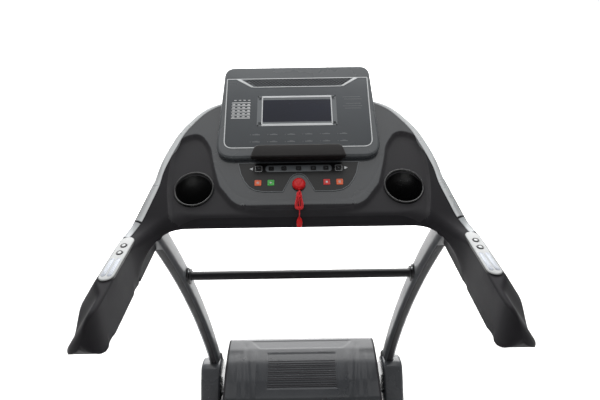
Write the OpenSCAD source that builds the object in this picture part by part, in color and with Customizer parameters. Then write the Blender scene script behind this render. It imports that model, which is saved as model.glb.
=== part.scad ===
// Folding motor treadmill. Millimetres, +Z up, +Y towards the motor hood,
// origin on the floor at the middle of the footprint. The user stands at -Y.

/* [Base frame] */
// Length from the rear end caps to the front feet
overall_length = 1830; // [1700:1:2200]
// Width over the ankle boots
base_width = 800; // [780:5:960]
// Length of the floor rails
rail_length = 1050; // [900:10:1200]
// Width of a floor rail
rail_w = 50; // [40:1:60]
// Height of a floor rail
rail_h = 50; // [40:1:60]
// Wall of the steel tubes
tube_wall = 2.5; // [1.5:0.1:3]
// Height of the rubber feet under the rails
foot_h = 15; // [10:1:25]

/* [Uprights] */
// Distance between the inner faces of the two uprights
upright_gap = 660; // [650:2:700]
// Width of an upright tube
upright_w = 40; // [35:1:45]
// Depth of an upright tube
upright_d = 48; // [40:1:60]
// Diameter of the crossbar
crossbar_dia = 26; // [20:1:32]
// Height of the crossbar axis
crossbar_z = 823; // [700:1:900]

/* [Deck] */
// Width of the running belt
belt_w = 500; // [420:5:510]
// Thickness of the running belt
belt_t = 2.2; // [1.6:0.1:3]
// Width of the deck over the foot rails
deck_w = 630; // [620:1:636]
// Diameter of both rollers
roller_dia = 52; // [42:1:52]
// Height of the roller axes
roller_z = 158; // [155:1:165]
// Height of the deck hinge
hinge_z = 130; // [125:1:135]
// Diameter of the deck hinge bolts
hinge_bolt_dia = 16; // [10:1:20]
// Width of the motor hood
hood_w = 600; // [560:2:606]
// Length of the motor
motor_len = 170; // [120:5:190]
// Diameter of the motor
motor_dia = 96; // [70:2:100]
// Diameter of the pulley on the front roller
roller_pulley_dia = 76; // [60:1:80]
// Diameter of the motor pulley
motor_pulley_dia = 42; // [30:1:50]

/* [Console] */
// Height of the console front edge
console_z = 1100; // [1050:5:1130]
// Slope of the console deck in degrees
console_tilt = 38; // [34:1:42]
// Wall of the plastic shells
shell = 3; // [2:0.5:4]
// Width of the display housing
display_w = 410; // [380:5:420]
// Height of the display housing along its slope
display_h = 284; // [260:2:300]
// Thickness of the display housing
display_t = 30; // [24:1:36]
// Slope of the display in degrees
display_tilt = 44.3; // [40:0.1:48]
// Width of the LCD window
lcd_w = 180; // [140:2:200]
// Height of the LCD window
lcd_h = 82; // [60:1:90]
// Inner diameter of a cup holder
cup_dia = 87; // [70:1:90]
// Distance of each cup holder from the middle
cup_x = 252; // [245:1:256]
// Travel of a console key
key_travel = 0.8; // [0.4:0.1:1]
// Diameter of the safety key
key_dia = 32; // [26:1:36]

/* [Handrails] */
// Width over both handrails
handrail_span = 860; // [840:2:880]
// Distance between the inner faces of the handrails
handrail_gap = 710; // [700:2:720]
// Height of a handrail side
handrail_h = 92; // [70:1:96]
// Slope of the handrails in degrees
handrail_tilt = 9; // [6:0.5:12]
// Length of a keypad plate
keypad_len = 138; // [120:1:150]
// Width of a keypad plate
keypad_w = 30; // [26:1:32]

/* [Fold strut] */
// Diameter of the strut cylinder
strut_dia = 22; // [18:1:24]
// Diameter of the strut rod
strut_rod_dia = 10; // [8:1:12]

/* [Transport wheels] */
// Diameter of a transport wheel
wheel_dia = 50; // [40:1:50]
// Width of a transport wheel
wheel_w = 18; // [12:1:20]

/* [Hidden] */
$fn = 64;
fit = 0.05;                              // radial running clearance
seat = 0.01;                             // film of air under a plate stuck on a face
snug = 0.2;                              // clearance round a tube in its socket
front_y = overall_length / 2;            // front of the floor rails' end plates
back_y = -overall_length / 2;            // back of the deck's end caps
cap_t = 10;                              // thickness of a rail's end plate
rail_y1 = front_y - cap_t;
rail_y0 = rail_y1 - rail_length;
rail_x = upright_gap / 2 + upright_w / 2;  // middle of a floor rail and its upright
rail_top = foot_h + rail_h;
boot_in = upright_gap / 2 - 8;           // inner face of a boot
boot_out = base_width / 2;

// The upright is an arc of this radius about an axis far behind and below
arc_r = 2746;
arc_y = front_y - 2765;
arc_z = -596;
arc_low = 13.4;
arc_high = 36.2;
function arc_angle(z, r) = asin((z - arc_z) / r);
bar_r = arc_r + 26;
bar_y = arc_y + bar_r * cos(arc_angle(crossbar_z, bar_r));

// Deck
hinge_y = front_y - 175;
hinge_axis_r = hinge_bolt_dia / 2;
deck_in = 270;                           // inner face of a deck rail
deck_rail_w = 40;
deck_rail_z0 = 100;
deck_rail_h = 60;
deck_rail_top = deck_rail_z0 + deck_rail_h;
deck_rail_y0 = back_y + 30;
deck_rail_y1 = hinge_y + 55;
roller_r = roller_dia / 2;
belt_in_r = roller_r + 0.4;
belt_out_r = belt_in_r + belt_t;
front_roller_y = front_y - 275;
rear_roller_y = back_y + 65;
board_top = roller_z + belt_in_r - 0.5;
board_t = board_top - deck_rail_top - 5;
hood_y0 = front_y - 315;
hood_y1 = front_y - 27;
hood_z0 = 164;
motor_y = hinge_y + 62;
motor_z = roller_z + 66;
axle_dia = 14;
pulley_x0 = belt_w / 2 + 2;
pulley_x1 = deck_in - 6;

// Fold strut: base pin, deck pin and the closed length between them
strut_a = [hinge_y - 40, hinge_z - 48];
strut_b = [hinge_y - 480, hinge_z - 44];
strut_len = norm(strut_b - strut_a);
strut_turn = atan2(strut_b[1] - strut_a[1], strut_b[0] - strut_a[0]);
strut_pin_dia = 10;
strut_cyl_len = 260;

// Console deck plane starts at its front edge
console_y = front_y - 555;
display_y = console_y + 106;
display_z = console_z + 100.7;
lip_h = 44;
console_x = handrail_gap / 2;
cup_v = 69;
cup_y = console_y + cup_v * cos(console_tilt);
cup_floor_z = console_z - 60;
cup_wall = 2.5;
cup_r = cup_dia / 2 + cup_wall;
key_hole_gap = 0.4;
face_t = 1.2;                            // thickness of the control overlay

// Console keys: [name index, x, along the slope, width, height]
KEYS = [["speed_down", -98, 120, 13, 12], ["quick_1", -67, 120, 12, 12],
        ["quick_2", -36, 120, 12, 12], ["quick_3", 0, 120, 12, 12],
        ["quick_4", 36, 120, 12, 12], ["quick_5", 67, 120, 12, 12],
        ["speed_up", 98, 120, 13, 12], ["program", -98, 79, 16, 16],
        ["start", -67, 79, 16, 16], ["stop", 67, 79, 16, 16],
        ["mode", 98, 79, 16, 16]];

// Safety key cord route in the console plane: x, along the slope, above it
cord_dia = 2.5;
CORD_TOP = [[0, 62, 6], [0.5, 58, 6.5], [1, 54, 7], [0.5, 50, 7.5], [0, 46, 7.5], [0, 42, 7.5]];
CORD_LOW = [[0, 8, 7], [0.5, 4, 7.5], [1, 0, 7], [1.2, -4, 4.5], [1, -7, 0.5], [0.5, -9, -4],
            [0, -11, -8]];
hank_len = 44;
hank_w = 15;
hank_t = 11;
key_v = 73;

// ---------- helpers ----------
module both_sides() { children(); mirror([1, 0, 0]) children(); }
module along_x(x0, x1) { translate([x0, 0, 0]) rotate([90, 0, 90]) linear_extrude(x1 - x0) children(); }
module rod_x(x0, x1, r, y, z) { translate([x0, y, z]) rotate([0, 90, 0]) cylinder(r = r, h = x1 - x0); }
module box(x0, x1, y0, y1, z0, z1) { translate([x0, y0, z0]) cube([x1 - x0, y1 - y0, z1 - z0]); }
module on_console() { translate([0, console_y, console_z]) rotate([console_tilt, 0, 0]) children(); }
module on_display() { translate([0, display_y, display_z]) rotate([display_tilt, 0, 0]) children(); }
module on_handrail() { translate([0, console_y - arm_run, console_z - 75]) rotate([handrail_tilt, 0, 0]) children(); }
function arc(cx, cy, r, a0, a1, n = 8) =
    [for (i = [0:n]) [cx + r * cos(a0 + (a1 - a0) * i / n), cy + r * sin(a0 + (a1 - a0) * i / n)]];
function mirrored(pts) = concat(pts, [for (i = [len(pts) - 1:-1:0]) [-pts[i][0], pts[i][1]]]);
function unit(v) = v / max(norm(v), 0.001);
function left_of(v) = [-v[1], v[0]];
// Moves each point of a closed counter-clockwise outline inwards
function inset(p, d) = [for (i = [0:len(p) - 1])
    let (a = p[(i + len(p) - 1) % len(p)], b = p[i], c = p[(i + 1) % len(p)],
         n1 = left_of(unit(b - a)), n2 = left_of(unit(c - b)), m = unit(n1 + n2))
    b + m * d / max(m * n1, 0.5)];
module rounded(w, h, r) {
    translate([-w / 2 + r, -h / 2]) square([w - 2 * r, h]);
    translate([-w / 2, -h / 2 + r]) square([w, h - 2 * r]);
    for (x = [-1, 1], y = [-1, 1]) translate([x * (w / 2 - r), y * (h / 2 - r)]) circle(r);
}
module stadium(w, l) {
    translate([-w / 2, -l / 2 + w / 2]) square([w, l - w]);
    for (y = [-1, 1]) translate([0, y * (l - w) / 2]) circle(w / 2);
}
module ring(r_out, r_in) { difference() { circle(r_out); circle(r_in); } }

// ---------- base frame ----------
module rail_tube() {
    difference() {
        box(rail_x - rail_w / 2, rail_x + rail_w / 2, rail_y0, rail_y1, foot_h, rail_top);
        box(rail_x - rail_w / 2 + tube_wall, rail_x + rail_w / 2 - tube_wall, rail_y0 - 1,
            rail_y1 + 1, foot_h + tube_wall, rail_top - tube_wall);
    }
}
bracket_x0 = upright_gap / 2 - 4;
bracket_x1 = bracket_x0 + 8;
module hinge_bracket() {
    difference() {
        box(bracket_x0, bracket_x1, hinge_y - 35, hinge_y + 35, rail_top, hinge_z + 30);
        rod_x(bracket_x0 - 1, bracket_x1 + 1, hinge_axis_r + fit, hinge_y, hinge_z);
    }
}
module base_rails() {
    color("#2b2c2e") both_sides() difference() {
        union() { rail_tube(); hinge_bracket(); }
        rod_x(rail_x, rail_x + rail_w, 5 + fit, wheel_y, wheel_z);
    }
}
module base_cross_tubes() {
    x = rail_x - rail_w / 2;
    color("#2b2c2e") {
        for (y = [rail_y0 + 10, strut_a[0] - 20]) difference() {
            box(-x, x, y, y + 40, foot_h, rail_top);
            box(-x - 1, x + 1, y + tube_wall, y + 40 - tube_wall, foot_h + tube_wall,
                rail_top - tube_wall);
        }
        both_sides() difference() {
            union() {
                box(8, 13, strut_a[0] - 12, strut_a[0] + 12, rail_top, strut_a[1]);
                rod_x(8, 13, 12, strut_a[0], strut_a[1]);
            }
            rod_x(7, 14, strut_pin_dia / 2, strut_a[0], strut_a[1]);
        }
    }
}
module rail_end_feet() {
    x0 = rail_x - rail_w / 2;
    color("#1c1c1d") both_sides() {
        box(x0, x0 + rail_w, rail_y1 - 45, rail_y1, 0, foot_h);
        box(x0, x0 + rail_w, rail_y1, front_y, 0, rail_top);
        box(x0, x0 + rail_w, rail_y0, rail_y0 + 45, 0, foot_h);
        box(x0, x0 + rail_w, rail_y0 - cap_t, rail_y0, 0, rail_top);
    }
}
module upright_solid(w, d, a0, a1) {
    translate([0, arc_y, arc_z]) rotate([90, 0, 90]) rotate([0, 0, a0])
        rotate_extrude(angle = a1 - a0, $fn = 180)
            translate([arc_r + upright_d / 2 - d / 2, rail_x - w / 2]) square([d, w]);
}
module upright() {
    color("#5c5e61") difference() {
        upright_solid(upright_w, upright_d, arc_low, arc_high);
        upright_solid(upright_w - 2 * tube_wall, upright_d - 2 * tube_wall, arc_low - 1, arc_high + 1);
        box(0, boot_out, 0, overall_length, 0, rail_top);
        rod_x(upright_gap / 2 - 1, upright_gap / 2 + tube_wall + 1, 9, bar_y, crossbar_z);
    }
}
module upright_right() { upright(); }
module upright_left() { mirror([1, 0, 0]) upright(); }
module crossbar() {
    x = upright_gap / 2;
    color("#232425") difference() {
        union() {
            rod_x(-x, x, crossbar_dia / 2, bar_y, crossbar_z);
            both_sides() rod_x(x - 8, x, crossbar_dia / 2 + 8, bar_y, crossbar_z);
            both_sides() rod_x(x - 1, x + tube_wall, 8.8, bar_y, crossbar_z);
        }
        rod_x(-x - 4, x + 4, crossbar_dia / 2 - 6, bar_y, crossbar_z);
    }
}
module boots() {
    y = front_y - 150;
    side = [[y - 130, rail_top + 0.3], [y + 86, rail_top + 0.3], [y + 86, 120], [y + 74, 190],
        [y + 58, 235], [y + 44, 256], [y + 20, 270], [y - 10, 272], [y - 32, 262], [y - 60, 215],
        [y - 92, 150], [y - 122, 100]];
    color("#4a4c50") both_sides() difference() {
        along_x(boot_in, boot_out) polygon(side);
        along_x(boot_in + shell, boot_out - shell) polygon(inset(side, shell));
        box(boot_in + shell, boot_out - shell, y - 126, y + 82, rail_top, rail_top + 6);
        upright_solid(upright_w + 2 * snug, upright_d + 2 * snug, arc_low, arc_high);
        rod_x(boot_in - 1, bracket_x0, hinge_axis_r + 1, hinge_y, hinge_z);
    }
}
wheel_y = front_y - 30;
wheel_z = wheel_dia / 2 + 2;
wheel_x0 = rail_x + rail_w / 2 + 2;
module frame_bolts() {
    color("#8d9093") both_sides() {
        rod_x(deck_in - 8, bracket_x1 + 6, hinge_axis_r, hinge_y, hinge_z);
        translate([deck_in - 8, hinge_y, hinge_z]) rotate([0, -90, 0]) cylinder(r = 14, h = 9, $fn = 6);
        rod_x(rail_x + rail_w / 2 - 8, wheel_x0 + wheel_w + 1, 5, wheel_y, wheel_z);
        rod_x(wheel_x0 + wheel_w + 1, wheel_x0 + wheel_w + 5, 8, wheel_y, wheel_z);
    }
    color("#8d9093") rod_x(-18, 18, strut_pin_dia / 2, strut_a[0], strut_a[1]);
}
module wheel() {
    color("#19191a") difference() {
        rod_x(wheel_x0, wheel_x0 + wheel_w, wheel_dia / 2, wheel_y, wheel_z);
        rod_x(wheel_x0 - 1, wheel_x0 + wheel_w + 1, 5 + fit, wheel_y, wheel_z);
        for (x = [wheel_x0 - 1, wheel_x0 + wheel_w - 4]) difference() {
            rod_x(x, x + 5, wheel_dia / 2 - 6, wheel_y, wheel_z);
            rod_x(x - 1, x + 6, 10, wheel_y, wheel_z);
        }
    }
}
module wheel_right() { wheel(); }
module wheel_left() { mirror([1, 0, 0]) wheel(); }

// ---------- console ----------
side_out = handrail_span / 2 - 44;
half_outline = concat([[0, console_y], [console_x - 65, console_y]],
    arc(console_x - 65, console_y - 35, 35, 90, 20, 6),
    [[console_x - 29, console_y - 35], [console_x, console_y - 35], [console_x, console_y - 14],
     [side_out, console_y - 14]],
    [for (p = [[372, 20], [360, 50], [351, 80], [344, 110], [334, 145], [320, 175], [303, 202],
        [278, 228], [246, 251], [206, 269], [150, 281], [0, 285]]) [p[0], console_y + p[1]]]);
plan_outline = mirrored(half_outline);
top_y = console_y + 285;
function deck_z(y) = console_z + (y - console_y) * tan(console_tilt);
profile_main = [[console_y - 40, console_z - lip_h], [console_y + 180, console_z - lip_h],
    [console_y + 240, console_z + 30], [top_y + 1, console_z + 150], [top_y + 1, deck_z(top_y + 1)],
    [console_y - 40, deck_z(console_y - 40)]];
profile_belly = [[console_y + 4, console_z - lip_h - 0.1], [console_y + 10, console_z - 66],
    [console_y + 120, console_z - 66], [console_y + 181, console_z - lip_h - 0.1]];
module console_mass(w) {
    intersection() {
        linear_extrude(1500) polygon(inset(plan_outline, w));
        union() {
            along_x(-handrail_span / 2, handrail_span / 2) polygon(inset(profile_main, w));
            along_x(-boot_in + w, boot_in - w) polygon(inset(concat(profile_belly,
                [[console_y + 181, console_z], [console_y + 4, console_z]]), w));
        }
    }
}
module above_part_line(flip = false) {
    on_console() if (flip) box(-500, 500, -300, 700, -400, -32); else box(-500, 500, -300, 700, -32, 200);
}
module display_envelope() {
    on_display() translate([0, display_h / 2, -display_t]) linear_extrude(display_t + 60)
        rounded(display_w, display_h, 28);
}
module control_outline(grow = 0) {
    half = [[0, 103], [6, 103], [13, 100], [20, 92], [38, 54], [84, 54], [104, 58], [119, 68],
        [131, 84], [141, 106], [149, 138]];
    polygon(inset([for (i = [len(half) - 1:-1:0]) half[i], for (i = [1:len(half) - 1])
        [-half[i][0], half[i][1]]], -grow));
}
module cup_bore(r, z0, z1) { both_sides() translate([cup_x, cup_y, z0]) cylinder(r = r, h = z1 - z0, $fn = 96); }
module key_holes(grow) {
    for (k = KEYS) translate([k[1], k[2], -20])
        linear_extrude(40) rounded(k[3] + 2 * grow, k[4] + 2 * grow, 2 + grow);
}
module console_upper() {
    color("#34363a") difference() {
        intersection() { console_mass(0); above_part_line(); }
        console_mass(shell);
        display_envelope();
        cup_bore(cup_r + snug, 900, 1400);
        on_console() key_holes(key_hole_gap);
        on_console() translate([0, key_v, -10]) cylinder(r = 5, h = 20);
    }
}
module console_lower() {
    color("#222324") difference() {
        intersection() { console_mass(0); above_part_line(true); }
        console_mass(shell);
        display_envelope();
        cup_bore(cup_r + snug, cup_floor_z - 0.2, 1400);
        both_sides() upright_solid(upright_w + 2 * snug, upright_d + 2 * snug, arc_low, arc_high + 0.02);
    }
}
module display_housing() {
    color("#3c3f43") difference() {
        on_display() translate([0, display_h / 2, -display_t]) linear_extrude(display_t)
            rounded(display_w, display_h, 28);
        on_display() translate([0, display_h / 2, -display_t + shell]) linear_extrude(display_t - 2 * shell)
            rounded(display_w - 2 * shell, display_h - 2 * shell, 25);
        on_display() translate([0, display_h / 2 - 6, -shell - 1]) linear_extrude(shell + 2)
            rounded(display_w - 34 + 0.2, display_h - 50 + 0.2, 16);
    }
}
lcd_v = 138;
module display_lens() {
    color("#2e3237") on_display() translate([0, 0, -2]) difference() {
        translate([0, display_h / 2 - 6, 0]) linear_extrude(2)
            rounded(display_w - 34, display_h - 50, 16);
        translate([-lcd_w / 2, lcd_v - lcd_h / 2, -1]) cube([lcd_w, lcd_h, 4]);
    }
}
module lcd_module() {
    color("#1b2238") on_display() {
        translate([-lcd_w / 2 + 0.2, lcd_v - lcd_h / 2 + 0.2, -6]) cube([lcd_w - 0.4, lcd_h - 0.4, 5.4]);
        translate([-lcd_w / 2 - 15, lcd_v - lcd_h / 2 - 10, -10]) cube([lcd_w + 30, lcd_h + 20, 4]);
    }
}
module console_board() {
    color("#1f5c38") on_console() translate([-152, 58, -12.6]) cube([304, 76, 1.6]);
}
ledge_w = 224;
module tablet_ledge() {
    color("#1d1b1b") on_display() along_x(-ledge_w / 2, ledge_w / 2)
        polygon([[-8, -4], [0, -4], [0, 0], [-1, 20], [16, 20], [20, 22], [22, 24], [20, 27], [-8, 27],
            [-11, 24], [-11, 2]]);
}
module control_overlay() {
    color("#141415") on_console() difference() {
        translate([0, 0, seat]) linear_extrude(face_t) control_outline();
        key_holes(key_hole_gap);
        translate([0, key_v, -1]) cylinder(r = key_dia / 2 + 2, h = 4);
    }
}
module cup_liners() {
    color("#101011") difference() {
        union() {
            intersection() { cup_bore(cup_r, cup_floor_z, 1400); on_console() box(-400, 400, -200, 400, -400, 3); }
            intersection() { cup_bore(cup_r + 3, cup_floor_z, 1400); on_console() box(-400, 400, -200, 400, seat, 3); }
        }
        cup_bore(cup_dia / 2, cup_floor_z + cup_wall, 1500);
    }
}
// One key: a cap that stands through the panel, with a flange under it
module console_key(i) {
    k = KEYS[i];
    on_console() translate([k[1], k[2], 0]) {
        translate([0, 0, -7]) linear_extrude(7 + face_t + key_travel + 0.6) rounded(k[3], k[4], 2);
        translate([0, 0, -7]) linear_extrude(2) rounded(k[3] + 3, k[4] + 3, 2);
    }
}
module speed_down_key() { color("#232425") console_key(0); }
module quick_1_key() { color("#232425") console_key(1); }
module quick_2_key() { color("#232425") console_key(2); }
module quick_3_key() { color("#232425") console_key(3); }
module quick_4_key() { color("#232425") console_key(4); }
module quick_5_key() { color("#232425") console_key(5); }
module speed_up_key() { color("#232425") console_key(6); }
module program_key() { color("#e0683a") console_key(7); }
module start_key() { color("#4fb04e") console_key(8); }
module stop_key() { color("#d23a34") console_key(9); }
module mode_key() { color("#e07a3a") console_key(10); }

// ---------- safety key and its cord ----------
module safety_key() {
    color("#e01f26") on_console() translate([0, key_v, 0]) {
        translate([0, 0, -6]) cylinder(r = 4.6, h = 8);
        translate([0, 0, 1]) cylinder(r = key_dia / 2, h = 8);
        translate([0, 0, 9]) cylinder(r = key_dia / 2 - 3, h = 3);
    }
}
function cross3(a, b) = [a[1] * b[2] - a[2] * b[1], a[2] * b[0] - a[0] * b[2], a[0] * b[1] - a[1] * b[0]];
// A tube of eight sides swept along a list of points
module cord_tube(p, r) {
    n = len(p);
    rings = [for (i = [0:n - 1])
        let (t = unit(p[min(i + 1, n - 1)] - p[max(i - 1, 0)]), a = unit(cross3([1, 0, 0], t)), b = cross3(t, a))
        for (k = [0:7]) p[i] + r * (a * cos(45 * k) + b * sin(45 * k))];
    sides = [for (i = [0:n - 2], k = [0:7])
        [i * 8 + k, i * 8 + (k + 1) % 8, (i + 1) * 8 + (k + 1) % 8, (i + 1) * 8 + k]];
    ends = [[for (k = [7:-1:0]) k], [for (k = [0:7]) (n - 1) * 8 + k]];
    polyhedron(rings, concat(sides, ends), convexity = 4);
}
module key_cord() {
    color("#d8242c") on_console() {
        cord_tube(CORD_TOP, cord_dia / 2);
        cord_tube(CORD_LOW, cord_dia / 2);
    }
}
module cord_hank() {
    color("#cf2a33") on_console() translate([0, 4 + hank_len / 2, 2]) linear_extrude(hank_t)
        stadium(hank_w, hank_len);
}
module cord_clip() {
    color("#e01f26") translate([0, console_y - 6.5, console_z - 26]) rotate([90, 0, 0])
        translate([0, 0, -3]) linear_extrude(6) difference() {
            union() { stadium(11, 24); translate([-7, 2]) square([14, 8]); }
            translate([-2, -10]) square([4, 14]);
        }
}

// ---------- handrails ----------
arm_run = 360;                           // from the arms' plane origin to the console edge
rail_in = handrail_gap / 2;
rail_out = handrail_span / 2;
rail_nose_y = 62;
module handrails() {
    h = handrail_h;
    side = concat([[86, -h - 2], [arm_run + 86, -h - 2], [arm_run + 92, -45], [arm_run - 16, -28],
        [arm_run - 16, 0]], arc(rail_nose_y, -22, 22, 90, 180, 5), [[50, -52], [68, -h + 4]]);
    color("#262627") both_sides() difference() {
        on_handrail() along_x(rail_in, rail_out) polygon(side);
        // outer flank leans out from the narrow top to the full width below
        on_handrail() translate([rail_in + 34, 0, 0]) rotate([0, 55, 0]) translate([-60, -50, 0]) cube([200, 700, 90]);
        // finger scoop behind the keypad
        on_handrail() translate([rail_in + 13, 98, 42]) rotate([0, 90, 0]) cylinder(r = 62, h = 80, $fn = 96);
        upright_solid(upright_w + 2 * snug, upright_d + 2 * snug, arc_low, arc_high + 1);
        box(0, 600, console_y - 14.2, console_y + 240, console_z - lip_h, 1400);
    }
}
module side_trims() {
    edge = [for (i = [12:len(half_outline) - 2]) half_outline[i]];
    strip = concat(edge, [for (i = [len(edge) - 1:-1:0]) edge[i] - [17, 4 + 8 * i / len(edge)]]);
    color("#c9cccd") both_sides() intersection() {
        linear_extrude(1500) polygon(strip);
        difference() { on_console() box(-500, 500, -200, 500, seat, 2); display_envelope(); }
    }
}
pad_x = rail_in + keypad_w / 2 + 1;
pad_s = 230;
module keypad_plates() {
    color("#d4d6d6") both_sides() on_handrail() translate([pad_x, pad_s, 0]) difference() {
        linear_extrude(3) stadium(keypad_w, keypad_len);
        for (s = RAIL_KEYS) translate([0, s, -1]) cylinder(r = 7 + key_hole_gap, h = 5);
    }
}
RAIL_KEYS = [38, 14];
module pulse_plates() {
    color("#b9bcc0") both_sides() on_handrail() for (x = [-1, 1])
        translate([pad_x + x * 6.5, pad_s - 32, 3]) linear_extrude(0.8) rounded(9, 48, 4);
}
module rail_key(s) {
    on_handrail() translate([pad_x, pad_s + s, 0.9]) cylinder(r = 7, h = 3.6);
}
module rail_key_right_front() { color("#1a1a1b") rail_key(RAIL_KEYS[0]); }
module rail_key_right_rear() { color("#1a1a1b") rail_key(RAIL_KEYS[1]); }
module rail_key_left_front() { mirror([1, 0, 0]) rail_key_right_front(); }
module rail_key_left_rear() { mirror([1, 0, 0]) rail_key_right_rear(); }

// ---------- deck ----------
module deck_rails() {
    color("#3a3b3d") both_sides() difference() {
        box(deck_in, deck_in + deck_rail_w, deck_rail_y0, deck_rail_y1, deck_rail_z0, deck_rail_top);
        box(deck_in + tube_wall, deck_in + deck_rail_w - tube_wall, deck_rail_y0 - 1, deck_rail_y1 + 1,
            deck_rail_z0 + tube_wall, deck_rail_top - tube_wall);
        rod_x(deck_in - 1, deck_in + deck_rail_w + 1, hinge_axis_r + fit, hinge_y, hinge_z);
        for (y = [front_roller_y, rear_roller_y])
            rod_x(deck_in - 1, deck_in + deck_rail_w + 1, axle_dia / 2, y, roller_z);
    }
}
cross_z0 = deck_rail_z0 + 3;
cross_z1 = roller_z - belt_out_r - 2;
module deck_cross_tubes() {
    color("#3a3b3d") {
        for (y = [rear_roller_y + 250, rear_roller_y + 670, strut_b[0], front_roller_y - 120]) difference() {
            box(-deck_in, deck_in, y - 20, y + 20, cross_z0, cross_z1);
            box(-deck_in - 1, deck_in + 1, y - 20 + tube_wall, y + 20 - tube_wall, cross_z0 + tube_wall,
                cross_z1 - tube_wall);
        }
        box(-deck_in, deck_in, motor_y - 30, motor_y - 8, 128, 152);
        box(-deck_in + 30, deck_in - 8, motor_y - 30, motor_y + 30, 152, 156);
        both_sides() {
            box(9, 14, strut_b[0] - 11, strut_b[0] + 11, strut_b[1] - 11, cross_z0);
            rod_x(6.5, 9, 3.5, strut_b[0], strut_b[1]);
        }
    }
}
module running_board() {
    color("#30312f") box(-deck_in - deck_rail_w + 2, deck_in + deck_rail_w - 2, rear_roller_y + 45,
        front_roller_y - 45, board_top - board_t, board_top);
}
module deck_cushions() {
    color("#26282a") both_sides() for (i = [0:3])
        translate([deck_in + deck_rail_w / 2, rear_roller_y + 150 + 350 * i, deck_rail_top]) cylinder(r = 13, h = board_top - board_t - deck_rail_top);
}
module loop(r, l) { circle(r); translate([0, -r]) square([l, 2 * r]); translate([l, 0]) circle(r); }
module running_belt() {
    color("#1d1e1f") translate([0, rear_roller_y, roller_z]) along_x(-belt_w / 2, belt_w / 2) difference() {
        loop(belt_out_r, front_roller_y - rear_roller_y);
        loop(belt_in_r, front_roller_y - rear_roller_y);
    }
}
foot_rail_in = belt_w / 2 + 4;
module foot_rails() {
    x = deck_w / 2;
    z = roller_z + belt_out_r + 9;
    color("#27282a") both_sides() difference() {
        along_x(foot_rail_in, x) polygon([[back_y + 12, deck_rail_z0], [hood_y0 - 1, deck_rail_z0],
            [hood_y0 - 1, z], [back_y + 20, z], [back_y + 12, z - 8]]);
        box(foot_rail_in - 1, x - shell, back_y, hood_y0, 0, board_top + 0.2);
        box(foot_rail_in - 1, x - shell, back_y, hood_y0, 0, deck_rail_top);
    }
}
module rear_end_caps() {
    x = deck_w / 2;
    color("#1b1b1c") both_sides() {
        difference() {
            box(deck_in, x - shell - 0.1, back_y, deck_rail_y0, 0, deck_rail_top - 1);
            box(deck_in - 1, x, back_y + 60, deck_rail_y0 + 1, 0, deck_rail_z0);
        }
        box(deck_in, deck_in + deck_rail_w, deck_rail_y0, deck_rail_y0 + 30, 0, deck_rail_z0);
    }
}
hood_side = [[hood_y0, hood_z0], [hood_y1, hood_z0], [hood_y1, hood_z0 + 90],
    [hood_y1 - 10, 281], [hood_y1 - 26, 297], [hood_y1 - 46, 306], [hood_y1 - 90, 303],
    [hood_y1 - 145, 286], [hood_y1 - 210, 254], [hood_y0 + 26, 224], [hood_y0 + 6, 206],
    [hood_y0, 196]];
module motor_hood() {
    color("#2f3236") difference() {
        along_x(-hood_w / 2, hood_w / 2) polygon(hood_side);
        along_x(-hood_w / 2 + shell, hood_w / 2 - shell) polygon(inset(hood_side, shell));
        box(-hood_w / 2 + shell, hood_w / 2 - shell, hood_y0 - 1, hood_y1 - shell, hood_z0 - 1, hood_z0 + 4);
        box(-deck_in, deck_in, hood_y0 - 1, hood_y0 + 10, hood_z0 - 1, roller_z + belt_out_r + 3);
        switch_hole(0.4);
    }
}
switch_x = -220;
switch_z = 200;
module switch_hole(grow) {
    box(switch_x - 8 - grow, switch_x + 8 + grow, hood_y1 - 12, hood_y1 + 5, switch_z - 13 - grow,
        switch_z + 13 + grow);
}
module power_switch() {
    color("#c32026") difference() {
        along_x(switch_x - 7.6, switch_x + 7.6)
            polygon([[hood_y1 - 9, switch_z - 7], [hood_y1 - 1, switch_z - 12.4], [hood_y1 + 0.6, switch_z - 12.4],
                [hood_y1 + 0.2, switch_z], [hood_y1 + 2.4, switch_z + 11.4], [hood_y1 - 1, switch_z + 12.4],
                [hood_y1 - 9, switch_z + 7]]);
        rod_x(switch_x - 8, switch_x + 8, 1.2, hood_y1 - 4, switch_z);
    }
}
motor_x1 = pulley_x0 - 16;
module drive_motor() {
    color("#77797b") difference() {
        union() {
            rod_x(motor_x1 - motor_len, motor_x1, motor_dia / 2, motor_y, motor_z);
            rod_x(motor_x1, motor_x1 + 8, 22, motor_y, motor_z);
            for (x = [motor_x1 - motor_len + 10, motor_x1 - 40])
                box(x, x + 30, motor_y - 25, motor_y + 25, 156, motor_z - motor_dia / 2 + 8);
        }
        rod_x(motor_x1 - 40, motor_x1 + 9, 8 + fit, motor_y, motor_z);
    }
}
module motor_controller() {
    color("#23573a") {
        box(-deck_in + 34, -20, motor_y - 28, motor_y + 28, 156, 162);
        for (i = [0:6]) box(-deck_in + 44 + 26 * i, -deck_in + 49 + 26 * i, motor_y - 24, motor_y + 24, 162, 190);
    }
}
module roller_axles() {
    color("#a5a8ab") for (y = [front_roller_y, rear_roller_y])
        rod_x(-deck_in - 14, deck_in + 14, axle_dia / 2, y, roller_z);
}
module roller(y) {
    difference() {
        rod_x(-belt_w / 2 - 3, belt_w / 2 + 1, roller_r, y, roller_z);
        rod_x(-belt_w / 2 + 30, belt_w / 2 - 30, roller_r - 3, y, roller_z);
        rod_x(-belt_w / 2 - 4, belt_w / 2 + 2, axle_dia / 2 + fit, y, roller_z);
    }
}
module drive_roller() {
    color("#9a9da0") {
        roller(front_roller_y);
        difference() {
            union() {
                rod_x(belt_w / 2 + 1, pulley_x1, roller_pulley_dia / 2 - 2, front_roller_y, roller_z);
                rod_x(pulley_x0, pulley_x1, roller_pulley_dia / 2, front_roller_y, roller_z);
            }
            rod_x(belt_w / 2, pulley_x1 + 1, axle_dia / 2 + fit, front_roller_y, roller_z);
        }
    }
}
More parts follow.
